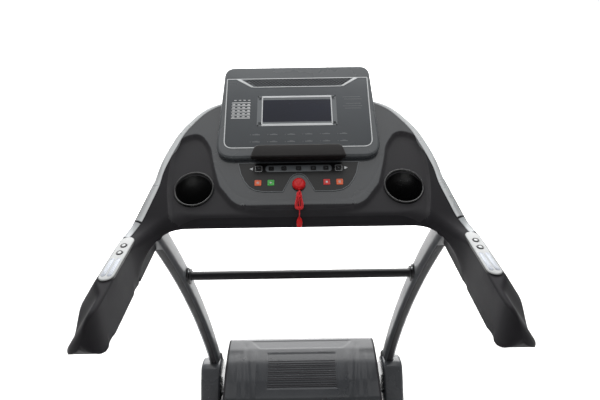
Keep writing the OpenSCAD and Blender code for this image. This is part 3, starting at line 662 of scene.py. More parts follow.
def rounded_polygon(corners: list, radii: list, steps: int = 7) -> np.ndarray:
    """A counter-clockwise polygon with each corner rounded.

    Args:
        corners: Its corners.
        radii: One radius a corner.
        steps: Segments in each corner.

    Returns:
        Its points.
    """
    p = np.asarray(corners, float)
    out = []
    for i, r in enumerate(radii):
        a, b, c = p[i - 1], p[i], p[(i + 1) % len(p)]
        u, w = (a - b) / np.linalg.norm(a - b), (c - b) / np.linalg.norm(c - b)
        half = math.acos(max(-1, min(1, float(u @ w)))) / 2
        reach = r / math.tan(half)
        start, end = b + u * reach, b + w * reach
        for t in np.linspace(0, 1, steps):
            out.append((1 - t) ** 2 * start + 2 * t * (1 - t) * b + t ** 2 * end)
    return np.array(out)


def box_outline(x0: float, v0: float, x1: float, v1: float, r: float = 1.0, steps: int = 4) -> np.ndarray:
    """A rectangle's outline with round corners."""
    return rounded_polygon([(x0, v0), (x1, v0), (x1, v1), (x0, v1)], [r] * 4, steps)


def resampled(points: np.ndarray, step: float, closed: bool = False) -> np.ndarray:
    """Spread points evenly along a line, about a step apart.

    Args:
        points: The line.
        step: The distance aimed at.
        closed: Whether the line closes on itself.

    Returns:
        The new points.
    """
    p = np.asarray(points, float)
    if closed:
        p = np.vstack([p, p[:1]])
    s = np.r_[0, np.cumsum(np.linalg.norm(np.diff(p, axis=0), axis=1))]
    n = max(2, int(round(s[-1] / step)) + 1)
    out = np.stack([np.interp(np.linspace(0, s[-1], n), s, p[:, k]) for k in range(p.shape[1])], 1)
    return out[:-1] if closed else out


def distance_to_line(points: np.ndarray, line: np.ndarray, closed: bool = True) -> np.ndarray:
    """Distance of each point from a line of segments.

    Args:
        points: The points to measure.
        line: The line's corners.
        closed: Whether the line closes on itself.

    Returns:
        One distance a point.
    """
    a = line
    b = np.roll(line, -1, 0)
    if not closed:
        a, b = a[:-1], b[:-1]
    ab = b - a
    length2 = np.maximum((ab ** 2).sum(1), 1e-12)
    out = np.empty(len(points))
    for k in range(0, len(points), 4000):
        p = points[k:k + 4000, None, :]
        t = np.clip(((p - a) * ab).sum(2) / length2, 0, 1)
        out[k:k + 4000] = np.sqrt((((p - a) - t[..., None] * ab) ** 2).sum(2).min(1))
    return out


def inside(points: np.ndarray, polygon: np.ndarray) -> np.ndarray:
    """Whether each point lies in a polygon.

    Args:
        points: The points to test.
        polygon: Its corners.

    Returns:
        One truth value a point.
    """
    x, y = points[:, 0], points[:, 1]
    hit = np.zeros(len(points), bool)
    x1, y1 = polygon[-1]
    for x2, y2 in polygon:
        if y1 != y2:
            cross = ((y1 > y) != (y2 > y)) & (x < (x2 - x1) * (y - y1) / (y2 - y1) + x1)
            hit ^= cross
        x1, y1 = x2, y2
    return hit


def loop_edges(start: int, count: int) -> list[tuple[int, int]]:
    """Edges of a closed loop of points, numbered from a start."""
    return [(start + i, start + (i + 1) % count) for i in range(count)]


def filled(points: np.ndarray, edges: list, rim: np.ndarray, holes: list[np.ndarray],
           tolerance: float) -> tuple[np.ndarray, np.ndarray]:
    """Fill a rim with triangles and leave its holes open.

    Args:
        points: All points in the plane, the rim's and holes' among them.
        edges: Edges that the triangles must keep.
        rim: The outline to fill.
        holes: Outlines to leave open.
        tolerance: Points nearer than this are one.

    Returns:
        Points and triangles.
    """
    got, _, tris, *_ = delaunay_2d_cdt([Vector(p) for p in points], edges, [], 0, tolerance)
    flat, tris = np.array([(p.x, p.y) for p in got]), np.array(tris)
    middle = flat[tris].mean(1)
    keep = inside(middle, rim)
    for hole in holes:
        keep &= ~inside(middle, hole)
    return flat, tris[keep]


def welded(verts: np.ndarray, faces: list) -> Skin:
    """Join points that lie on each other, and drop the faces that this closes.

    Args:
        verts: Points in millimetres.
        faces: Faces, as lists of point numbers.

    Returns:
        Points and faces.
    """
    _, first, same = np.unique(np.round(verts * 500), axis=0, return_index=True, return_inverse=True)
    same = same.ravel()
    faces = [list(dict.fromkeys(same[list(f)])) for f in faces]
    return verts[first], [f for f in faces if len(f) > 2]


def pierced_plate(outline: np.ndarray, edge: tuple, base: float, holes: list[np.ndarray], plane: Plane) -> Skin:
    """A plate with a stepped or domed edge and holes straight through it.

    Args:
        outline: Its counter-clockwise outline in (x, v).
        edge: Inset and height of each step of its edge, from the outside up to the top face.
        base: Height of its underside.
        holes: Outlines of its holes.
        plane: The plane that it is built on.

    Returns:
        Points and faces.
    """
    rings = [inset_outline(outline, d) if d else outline for d, _ in edge]
    heights = [h for _, h in edge]
    lines = [rings[-1]] + holes
    edges, start = [], 0
    for line in lines:
        edges += loop_edges(start, len(line))
        start += len(line)
    flat, tris = filled(np.vstack(lines), edges, rings[-1], holes, 1e-6)
    faces = [list(t) for t in tris]
    skirt = [at_height(rings[-1], base), at_height(rings[0], base)] + [at_height(r, h) for r, h in zip(rings, heights)]
    wells = [rings_to_mesh([at_height(hole, heights[-1]), at_height(hole, base)], False, False) for hole in holes]
    verts, faces = welded(*merge([(at_height(flat, heights[-1]), faces),
                                  (at_height(flat, base), [f[::-1] for f in faces]),
                                  rings_to_mesh(skirt, False, False)] + wells))
    return plane.place(verts), faces


def ease(t: np.ndarray) -> np.ndarray:
    """Smooth step from 0 to 1."""
    t = np.clip(t, 0, 1)
    return t * t * (3 - 2 * t)


def smooth_max(a: np.ndarray, b: np.ndarray, k: float) -> np.ndarray:
    """The larger of two heights, rounded where they cross."""
    return np.maximum(a, b) + np.maximum(k - np.abs(a - b), 0) ** 2 / (4 * k)


def screw_head(radius: float, height: float) -> Skin:
    """A button-head screw with a hexagon socket, standing on its origin along +z.

    Args:
        radius: The head's radius.
        height: The head's height.

    Returns:
        Points and faces.
    """
    a = np.linspace(0, 2 * math.pi, 24, endpoint=False)
    k = np.abs((a + math.pi / 6) % (math.pi / 3) - math.pi / 6)
    rings = [at_height(np.column_stack([r * radius * np.cos(a), r * radius * np.sin(a)]), h)
             for r, h in ((1, -0.6), (1, height * 0.35), (0.93, height * 0.7), (0.78, height))]
    rings += [at_height(np.column_stack([radius * 0.42 * np.cos(a) / np.cos(k), radius * 0.42 * np.sin(a) / np.cos(k)]),
                        h)
              for h in (height, height * 0.3)]
    return rings_to_mesh(rings)


# ---- studio

@dataclass(frozen=True)
class SoftBox:
    """One square soft box: watts, side, place and the point that it faces, in metres."""

    name: str
    power: float
    side: float
    place: Point
    target: Point


@dataclass
class Studio:
    """Camera, floor and soft lights. Metres."""

    camera_at: Point = (0.0, -0.484, 1.47)
    pitch_down: float = 22.0
    roll: float = -0.9
    lens: float = 24.0
    sensor: float = 36.0
    shift_x: float = 0.0015
    floor_half: float = 14.0
    wall_y: float = 7.0
    bend: float = 2.5
    sky: float = 0.32
    boxes: tuple[SoftBox, ...] = (
        SoftBox("overhead_box", 22, 2.6, (0.0, 0.2, 3.4), (0, 0.4, 1.0)),
        SoftBox("left_box", 4, 1.4, (-2.4, -0.6, 2.2), (0, 0.4, 1.0)),
        SoftBox("right_box", 2.5, 1.4, (2.4, -0.6, 2.0), (0, 0.4, 1.0)),
        SoftBox("floor_box", 560, 6.0, (0.0, 4.4, 3.6), (0, 4.8, 0.0)),
        SoftBox("wall_box", 200, 4.0, (0.0, 3.4, 3.6), (0, 7.0, 1.6)))

    def build(self) -> None:
        """Make the camera first, then the floor and the lights."""
        data = bpy.data.cameras.new("view_camera")
        data.lens, data.sensor_width, data.clip_start = self.lens, self.sensor, 0.02
        data.shift_x = self.shift_x
        cam = bpy.data.objects.new("view_camera", data)
        bpy.context.collection.objects.link(cam)
        tip = Matrix.Rotation(math.radians(90 - self.pitch_down), 4, "X")
        roll = Matrix.Rotation(math.radians(self.roll), 4, "Z")
        cam.matrix_world = Matrix.Translation(self.camera_at) @ (tip @ roll)
        bpy.context.scene.camera = cam
        bpy.context.scene.view_settings.view_transform = "Standard"
        self._floor()
        self._lights()

    def _floor(self) -> None:
        """A pale floor that curves up into a wall."""
        w = self.floor_half
        line = [(-w, 0.0), (self.wall_y - self.bend, 0.0)]
        line += [(self.wall_y - self.bend + self.bend * math.sin(a), self.bend * (1 - math.cos(a)))
                 for a in np.linspace(0, math.pi / 2, 13)[1:]]
        line.append((self.wall_y, w))
        verts = [(x, y, z) for y, z in line for x in (-w, w)]
        faces = [(2 * i, 2 * i + 1, 2 * i + 3, 2 * i + 2) for i in range(len(line) - 1)]
        mesh = bpy.data.meshes.new("studio_floor")
        mesh.from_pydata(verts, [], faces)
        mesh.polygons.foreach_set("use_smooth", [True] * len(faces))
        floor = bpy.data.objects.new("studio_floor", mesh)
        bpy.context.collection.objects.link(floor)
        mesh.materials.append(Finish("pale_studio_floor", "f6f6f6", "fafafa", 0.9, grain=Grain.COATED,
                                     grain_mm=8, relief=0.01).material())

    def _lights(self) -> None:
        """Soft boxes for the object, the floor and the wall, under an even white sky."""
        world = bpy.data.worlds.new("studio_sky")
        world.use_nodes = True
        sky = world.node_tree.nodes["Background"]
        sky.inputs["Color"].default_value = (1, 1, 1, 1)
        sky.inputs["Strength"].default_value = self.sky
        bpy.context.scene.world = world
        for box in self.boxes:
            data = bpy.data.lights.new(box.name, "AREA")
            data.energy, data.size = box.power, box.side
            lamp = bpy.data.objects.new(box.name, data)
            bpy.context.collection.objects.link(lamp)
            lamp.location = box.place
            lamp.visible_camera = False
            lamp.rotation_euler = (Vector(box.target) - Vector(box.place)).to_track_quat("-Z", "Y").to_euler()


# ---- carried-over parts

def dress_frame() -> None:
    """Give every carried-over CAD node its finish."""
    for name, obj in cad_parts.items():
        finish = NODE_FINISH.get(name, KEY_BLACK)
        obj.data.materials.clear()
        obj.data.materials.append(finish.material())
        log.info("%s: %s", name, finish.name)


# ---- console body with its arms

@dataclass
class ConsoleBody:
    """The moulded body: a sloping console that runs out into both handrails. Millimetres."""

    grid: float = 3.4
    arm_top_x: float = 389.0
    flank_slope: float = 1.428
    valley: float = 6.5
    valley_step: float = 7.0
    cup_at: tuple[float, float] = (252.0, 69.0)
    cup_hole: float = 44.5
    blend: float = 16.0
    # right half of the plan outline, from the middle of the lip to the middle of the back
    front: tuple = ((0, 360), (120, 360), (200, 360), (240, 359.5), (262, 357), (282, 351), (302, 341), (320, 327),
                    (335, 309), (346, 287), (353, 262), (355, 235), (355, 180), (355, 130), (355, 103), (356.5, 88),
                    (361, 76), (369, 67), (380, 62.5), (393, 62.5), (406, 67), (417, 77), (425, 90), (429, 105),
                    (430, 122), (430, 160), (430, 215), (429, 250), (425, 275), (417, 300), (406, 330), (393, 358),
                    (378, 388), (364, 414), (353.5, 437), (346, 460), (339, 483), (324, 520.8), (308, 551.5),
                    (281, 583.8), (248, 612.2), (208, 628.7), (150, 641), (75, 644.5), (0, 645))
    # outer ridge of the raised middle: x and distance up the slope
    ridge: tuple = ((0, 7), (46, 7.5), (92, 10), (118, 14), (139, 20), (158, 32), (174, 52), (184, 65), (192, 77),
                    (204, 115), (215, 157))
    # the recess round a cup, from the ridge's top round the cup to the lip
    arch: tuple = ((215, 157), (222, 186), (237, 213), (249, 227), (264, 233), (284, 229), (300, 219), (311, 205),
                   (317, 182), (318.5, 155), (318, 110), (315, 70), (309, 34), (303, 6), (299, -14), (297, -40))
    inner_band: tuple = ((0, 28), (92, 31), (118, 35), (139, 43), (157, 58), (170, 74), (186, 100), (201, 132),
                         (209, 157))

    def __post_init__(self) -> None:
        """Work out the lines that the heights depend on."""
        self._outline = self.outline()
        self._recess = resampled(self.recess(), 4.0, closed=True)
        self._band = smooth_path(self.inner_band, 60)

    def outline(self) -> np.ndarray:
        """The plan outline, counter-clockwise.

        Returns:
            Its points.
        """
        half = smooth_path(self.front, 420)
        left = half[::-1][1:-1] * (-1, 1)
        return resampled(np.vstack([half, left]), 3.2, closed=True)

    def recess(self) -> np.ndarray:
        """The recessed area on the slope, counter-clockwise in (x, v).

        Returns:
            Its points.
        """
        half = np.vstack([[(0, -40)], smooth_path(self.arch[::-1], 130), smooth_path(self.ridge[::-1], 110)[1:]])
        left = half[::-1][1:-1] * (-1, 1)
        return np.vstack([half, left])

    def to_plan(self, sv: np.ndarray) -> np.ndarray:
        """Points given as (x, distance up the slope) in plan."""
        return np.column_stack([sv[:, 0], CONSOLE.origin[1] + sv[:, 1] * math.cos(CONSOLE.tilt)])

    def slope(self, xy: np.ndarray) -> np.ndarray:
        """Plan points as (x, distance up the slope)."""
        c = math.cos(CONSOLE.tilt)
        return np.column_stack([xy[:, 0], (xy[:, 1] - CONSOLE.origin[1]) / c])

    def flank_line(self, y: np.ndarray) -> np.ndarray:
        """Where the outer flank starts, measured across the machine.

        Args:
            y: Distances along the machine.

        Returns:
            One distance from the middle plane each.
        """
        waist = self.arm_top_x - 23 * ease((168 - y) / 52)
        return np.where(y < 270, waist, np.interp(y, (270, 296, 318, 339.5, 375, 415, 440, 483, 700),
                                                  (self.arm_top_x, 387.5, 384, 377, 365, 353, 345, 340, 340)))

    def top(self, xy: np.ndarray, recessed: bool = True) -> np.ndarray:
        """Height of the upper skin over plan points.

        Args:
            xy: The plan points.
            recessed: Whether the recess is cut.

        Returns:
            One height a point.
        """
        x, y = np.abs(xy[:, 0]), xy[:, 1]
        tilt = CONSOLE.tilt
        plane = CONSOLE.origin[2] + (y - CONSOLE.origin[1]) * math.tan(tilt)
        sv = self.slope(np.column_stack([x, y]))
        low = ease(distance_to_line(sv, self._recess) / self.valley_step) * inside(sv, self._recess)
        band = ease(1 - np.abs(distance_to_line(sv, self._band, closed=False)) / 2.2)
        plane = plane - recessed * (self.valley * low + 0.9 * band) / math.cos(tilt)
        arm = ARM.origin[2] + y * math.tan(ARM.tilt)
        nose = np.maximum(86 - y, 0)
        arm = arm - (24 - np.sqrt(np.maximum(24 ** 2 - np.minimum(nose, 23.9) ** 2, 0)))
        away = ease((300 - x) / 40)
        z = smooth_max(plane, arm - 60 * away, self.blend)
        over = x - self.flank_line(y)
        fade = ease((500 - y) / 60)
        ramp = np.where(over > 6, over, np.where(over < -6, 0, (over + 6) ** 2 / 24))
        z = z - self.flank_slope * ramp * fade
        d = distance_to_line(np.column_stack([x, y]), self._outline)
        r = 4.5 + 12 * ease((x - 225) / 70) * ease((365 - x) / 12) * ease((y - 255) / 40) * ease((368 - y) / 6)
        return z - (r - np.sqrt(np.maximum(r ** 2 - (r - np.minimum(d, r)) ** 2, 0)))

    def bottom(self, xy: np.ndarray) -> np.ndarray:
        """Height of the lower skin over plan points.

        Args:
            xy: The plan points.

        Returns:
            One height a point.
        """
        x, y = np.abs(xy[:, 0]), xy[:, 1]
        belly = np.interp(y, (355, 362, 370, 388, 405, 480, 541, 600, 640, 646),
                          (1062, 1059, 1055, 1049, 1041, 1036, 1050, 1125, 1235, 1285))
        arm = ARM.origin[2] + y * math.tan(ARM.tilt) - np.interp(y, (62, 64, 68, 78, 90, 96), (46, 60, 72, 86, 93, 94))
        f = np.clip((x - 286) / 69, 0, 1)
        web = (1 - np.sqrt(1 - f ** 2)) * (1 - ease((y - 425) / 30))
        return belly + (arm - belly) * web

    def build(self) -> bpy.types.Object:
        """Mesh both skins over one outline, wall them and dress the result.

        Returns:
            The body.
        """
        rim = self._outline
        skin = welded(*merge([self._upper(rim), self._lower(rim), self._wall(rim)]))
        obj = make_object("console_body", *skin, SHELL_ABS, "base", 50)
        obj.data.materials.append(UNDER_ABS.material())
        obj.data.materials.append(HANDRAIL_PU.material())
        self._paint(obj.data)
        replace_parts(obj, "console_upper", "console_lower", "handrails")
        return obj

    def _upper(self, rim: np.ndarray) -> Skin:
        """The upper skin, with points along each crease and a hole for each cup.

        Args:
            rim: The plan outline.

        Returns:
            Points and faces.
        """
        lines = [rim] + [inset_outline(rim, d) for d in (0.5, 1.8, 4.0, 7.0)]
        crease = resampled(self.to_plan(self._recess), 3.0, closed=True)
        crease = crease[crease[:, 1] > 364]
        a = np.linspace(0, 2 * math.pi, 64, endpoint=False)
        holes = [self.to_plan(np.column_stack([side * self.cup_at[0] + self.cup_hole * np.cos(a),
                                               self.cup_at[1] + self.cup_hole * np.sin(a)])) for side in (1, -1)]
        step = self.grid
        gx, gy = np.meshgrid(np.arange(-432, 432, step), np.arange(38, 648, step * 0.866))
        gx[1::2] += step / 2
        grid = np.column_stack([gx.ravel(), gy.ravel()])
        grid = grid[inside(grid, lines[-1])]
        near = np.minimum.reduce([distance_to_line(grid, line) for line in (lines[-1], crease, *holes)])
        sets = lines + [crease] + holes + [grid[near > step * 0.45]]
        edges, start = [], 0
        for k, line in enumerate(sets[:-1]):
            if k == 0 or k > len(lines):
                edges += loop_edges(start, len(line))
            start += len(line)
        flat, tris = filled(np.vstack(sets), edges, rim, holes, 1e-5)
        a, b, d = flat[tris[:, 0]], flat[tris[:, 1]], flat[tris[:, 2]]
        area = (b[:, 0] - a[:, 0]) * (d[:, 1] - a[:, 1]) - (b[:, 1] - a[:, 1]) * (d[:, 0] - a[:, 0])
        tris[area < 0] = tris[area < 0][:, ::-1]
        tris = tris[np.abs(area) > 1e-7]
        return np.column_stack([flat, self.top(flat)]), [list(t) for t in tris]

    def _paint(self, mesh: bpy.types.Mesh) -> None:
        """Give the recess and the arms their own finishes, by where a face lies.

        Args:
            mesh: The body's mesh.
        """
        count = len(mesh.polygons)
        middle = np.zeros(count * 3)
        mesh.polygons.foreach_get("center", middle)
        normal = np.zeros(count * 3)
        mesh.polygons.foreach_get("normal", normal)
        middle, normal = middle.reshape(-1, 3) / MM, normal.reshape(-1, 3)
        sv = self.slope(np.column_stack([np.abs(middle[:, 0]), middle[:, 1]]))
        index = np.zeros(count, int)
        index[(normal[:, 2] > 0.05) & inside(sv, self._recess) & (middle[:, 1] > 352)] = 1
        index[(normal[:, 2] < -0.3)] = 1
        arm_z = ARM.origin[2] + middle[:, 1] * math.tan(ARM.tilt)
        plane = CONSOLE.origin[2] + (middle[:, 1] - CONSOLE.origin[1]) * math.tan(CONSOLE.tilt)
        index[(arm_z > plane - 2) & (np.abs(middle[:, 0]) > 300)] = 2
        index[middle[:, 2] < arm_z - 30] = 2
        index[(np.abs(middle[:, 0]) < 300) & (middle[:, 2] < 1112) & (middle[:, 1] < 392) & (index == 0)] = 2
        index[(np.abs(middle[:, 0]) > 296) & (middle[:, 1] < 484) & (index == 0)] = 2
        mesh.polygons.foreach_set("material_index", index)

    def _lower(self, rim: np.ndarray) -> Skin:
        """The under-skin, on a coarser grid.

        Args:
            rim: The plan outline.

        Returns:
            Points and faces.
        """
        step = 9.0
        gx, gy = np.meshgrid(np.arange(-430, 430, step), np.arange(40, 646, step))
        grid = np.column_stack([gx.ravel(), gy.ravel()])
        inner = inset_outline(rim, 3.0)
        grid = grid[inside(grid, inner)]
        grid = grid[(distance_to_line(grid, inner) > 3) & ~self._webbed(grid)]
        fx, fy = np.meshgrid(np.arange(-358, 358, 3.0), np.arange(262, 462, 4.0))
        web = np.column_stack([fx.ravel(), fy.ravel()])
        web = web[self._webbed(web) & inside(web, inner)]
        web = web[distance_to_line(web, inner) > 1.2]
        flat, tris = filled(np.vstack([rim, inner, grid, web]), loop_edges(0, len(rim)), rim, [], 1e-5)
        z = np.minimum(self.bottom(flat), self.top(flat) - 3)
        return np.column_stack([flat, z]), [list(t)[::-1] for t in tris]

    def _webbed(self, xy: np.ndarray) -> np.ndarray:
        """Whether plan points lie in the hollow between the lip and an arm."""
        x = np.abs(xy[:, 0])
        return (x > 282) & (x < 358) & (xy[:, 1] > 262) & (xy[:, 1] < 462)

    def _wall(self, rim: np.ndarray) -> Skin:
        """The side wall between both skins.

        Args:
            rim: The plan outline.

        Returns:
            Points and faces.
        """
        high, low = self.top(rim), np.minimum(self.bottom(rim), self.top(rim) - 3)
        rings = [np.column_stack([rim, low + (high - low) * t]) for t in (0, 0.25, 0.5, 0.75, 1)]
        verts, faces = rings_to_mesh(rings, False, False)
        return verts, faces


# ---- safety key and its lanyard

@dataclass
class SafetyLanyard:
    """Red pull key, its cord tied up in a hank, and the clothing clip. Millimetres on the console's slope."""

    cord: float = 2.5
    run_low: float = 9.0
    run_high: float = 43.0
    columns: tuple[float, ...] = (6.3, 3.7)
    layers: tuple[float, ...] = (4.4, 6.95, 9.5, 12.05)
    key_v: float = 73.0
    key_r: float = 16.0

    def _pinch(self, v: np.ndarray) -> np.ndarray:
        """How wide the runs spread at a height on the slope: narrow at the key, full low down."""
        return np.interp(v, (4, 15, 30, 50), (1.35, 1.4, 0.9, 0.62))

    def route(self) -> np.ndarray:
        """Centre line of the whole cord, from the key to the clip.

        Returns:
            Its points on the slope.
        """
        pts = [(0, 57.2, 4.6), (0.4, 55, 5.4), (0.9, 52, 6.2), (0.5, 50, 6.6)]
        lo, hi = self.run_low, self.run_high
        first = True
        for k, h in enumerate(self.layers):
            cols = self.columns if k % 2 == 0 else self.columns[::-1]
            for c in cols:
                bulge = c + 1.2
                wave = 0.5 * math.sin(3.1 * k + c)
                for v in np.linspace(hi, lo, 9)[(0 if not first else 1):]:
                    pts.append((-c, v + wave, h))
                first = False
                for a in np.linspace(0, math.pi, 7)[1:-1]:
                    pts.append((-c * math.cos(a), lo + wave - bulge * 0.75 * math.sin(a), h))
                for v in np.linspace(lo, hi, 9):
                    pts.append((c, v + wave, h))
                for a in np.linspace(0, math.pi, 7)[1:-1]:
                    pts.append((c * math.cos(a), hi + wave + bulge * 0.7 * math.sin(a),
                                h + 1.27 * a / math.pi * (c == cols[-1])))
        pts = pts[:-5]
        pts += [(5.0, 46.5, 13.2), (2.6, 47.0, 14.6), (0.3, 44.0, 15.4), (-0.6, 36, 15.6), (-0.4, 26, 15.5),
                (0, 16, 15.4),
                (0.4, 8, 14.2), (0.6, 1, 11.5), (0.6, -4, 7.0), (0.4, -7.5, 1.0), (0.1, -9.5, -4.5), (0, -11, -8.5)]
        pts = np.array(pts, float)
        pts[4:-6, 0] *= self._pinch(pts[4:-6, 1])
        return smooth_path([tuple(p) for p in pts], 620)

    def build(self) -> None:
        """Make the cord first, then the key, the tie and the clip."""
        line = CONSOLE.place(self.route())
        verts, faces = swept_tube(line, self.cord / 2, 8)
        cord = make_object("lanyard_cord", verts, faces, RED_NYLON, "safety_key", 80)
        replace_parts(cord, "key_cord", "cord_hank")
        tie = self._tie()
        clip = self._clip()
        self._key()

    def _tie(self) -> bpy.types.Object:
        """Three turns of cord drawn tight round the middle of the hank.

        Returns:
            The tie.
        """
        turns = []
        for k, v in enumerate((30.6, 33.0, 35.4)):
            a = np.linspace(0, 2 * math.pi, 25)
            ring = np.column_stack([(5.9 + 0.2 * k) * np.sign(np.cos(a)) * np.abs(np.cos(a)) ** 0.7,
                                    v + 0.7 * np.sin(a + k), 8.6 + 6.1 * np.sign(np.sin(a)) * np.abs(np.sin(a)) ** 0.7])
            turns.append(swept_tube(CONSOLE.place(ring), 1.15, 8))
        return make_object("hank_tie", *merge(turns), RED_NYLON, "safety_key", 80)

    def _clip(self) -> bpy.types.Object:
        """Sprung clothing clip: two jaws, a pivot and a lug for the cord.

        Returns:
            The clip.
        """
        y = 353.4
        jaw = rounded_polygon([(-5.4, 1063), (5.4, 1063), (7, 1076), (4.5, 1086), (-4.5, 1086), (-7, 1076)],
                              [4.5, 4.5, 4, 3.5, 3.5, 4], 5)
        stand = Plane((0, y + 3, 0), math.radians(90))
        parts = [slab(jaw, 0.3, 2.7, 0.8, stand, both=True),
                 slab(inset_outline(jaw, 0.8), 3.3, 5.9, 1.0, stand, both=True)]
        lug = lathe(np.array([(-0.9, 1.6), (-0.9, 3.2), (0.9, 3.2), (0.9, 1.6), (-0.9, 1.6)]), (0, y + 0.4, 1086.5),
                    "y", 20, False)
        pin = lathe(np.array([(-4.6, 1.4), (4.6, 1.4)]), (0, y, 1078), "x", 14)
        verts, faces = merge(parts + [lug, pin])
        clip = make_object("clothing_clip", verts, faces, RED_ABS, "safety_key", 40)
        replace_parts(clip, "cord_clip")
        return clip

    def _key(self) -> None:
        """The domed key with a raised chevron and a finger groove round it."""
        r = self.key_r
        profile = np.array([(1.4, 0.01), (1.4, r - 1.5), (2.4, r), (5.0, r), (6.2, r - 0.6), (6.8, r - 1.5),
                            (7.2, r - 1.2), (8.4, r - 1.4), (9.6, r - 2.8), (10.6, r - 6), (11.2, r - 11),
                            (11.4, 0.01)])
        disc, faces = lathe(profile, (0, 0, 0), "z", 56)
        disc = disc + (0, self.key_v, 0)
        bars = []
        for side in (-1, 1):
            a, b = np.array([0.0, self.key_v - 7]), np.array([side * 6.5, self.key_v + 6.5])
            u = (b - a) / np.linalg.norm(b - a)
            n = np.array([-u[1], u[0]]) * 1.5
            outline = np.array([a - n, b - n, b + n, a + n])
            if np.cross(outline[1] - outline[0], outline[2] - outline[1]) < 0:
                outline = outline[::-1]
            bars.append(slab(rounded_polygon(outline, [1.2] * 4, 4), 9.0, 12.2, 0.6))
        eyelet = lathe(np.array([(-1.3, 1.5), (-1.3, 3.4), (1.3, 3.4), (1.3, 1.5), (-1.3, 1.5)]),
                       (0, self.key_v - 15.6, 4.8), "x", 24, False)
        stem = lathe(np.array([(-6, 4.4), (1.6, 4.4)]), (0, self.key_v, 0), "z", 28)
        verts, faces = merge([(disc, faces)] + bars + [eyelet, stem])
        key = make_object("safety_pull_key", CONSOLE.place(verts), faces, RED_ABS, "safety_key", 40)
        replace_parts(key, "safety_key")


# ---- cup holders

@dataclass
class CupHolders:
    """A deep liner with a rolled ring in each recess of the console. Millimetres."""

    centre: tuple[float, float] = (252.0, 69.0)
    ring_r: float = 48.5
    mouth_r: float = 43.5
    floor_r: float = 35.0
    floor_z: float = 1059.0

    def build(self) -> None:
        """Loft each liner from its sloping ring to its level floor."""
        c = math.cos(CONSOLE.tilt)
        x0, v0 = self.centre
        y0 = CONSOLE.origin[1] + v0 * c
        a = np.linspace(0, 2 * math.pi, 72, endpoint=False)
        def on_slope(r: float, h: float) -> np.ndarray:
            """A circle on the console's slope."""
            return CONSOLE.place(np.column_stack([x0 + r * np.cos(a), v0 + r * np.sin(a), np.full(len(a), h)]))
        def level(r: float, z: float) -> np.ndarray:
            """A circle that lies level."""
            return np.column_stack([x0 + r * np.cos(a), y0 - 2 + r * np.sin(a), np.full(len(a), z)])
        rings = [level(self.floor_r - 2, self.floor_z - 2.6), level(self.floor_r + 3.5, self.floor_z + 1)]
        rings += [on_slope(self.mouth_r + 1.6, -12), on_slope(self.ring_r - 1.5, -9), on_slope(self.ring_r, -5.2),
                  on_slope(self.ring_r - 0.6, -3.0), on_slope(self.ring_r - 2.2, -2.0),
                  on_slope(self.mouth_r + 1.4, -2.2),
                  on_slope(self.mouth_r, -3.8)]
        top, low = on_slope(self.mouth_r - 0.6, -6), level(self.floor_r + 1.5, self.floor_z + 4)
        for t in (0.0, 0.2, 0.4, 0.6, 0.8, 1.0):
            bow = 1 + 0.03 * math.sin(math.pi * t)
            mid = top * (1 - t) + low * t
            rings.append((mid - mid.mean(0)) * (bow, bow, 1) + mid.mean(0))
        rings += [level(self.floor_r - 1.5, self.floor_z + 1.2), level(self.floor_r - 5, self.floor_z)]
        liner = make_object("cup_liner_pair", *mirrored(rings_to_mesh(rings)), CUP_ABS, "base", 50)
        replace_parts(liner, "cup_liners")


# ---- display

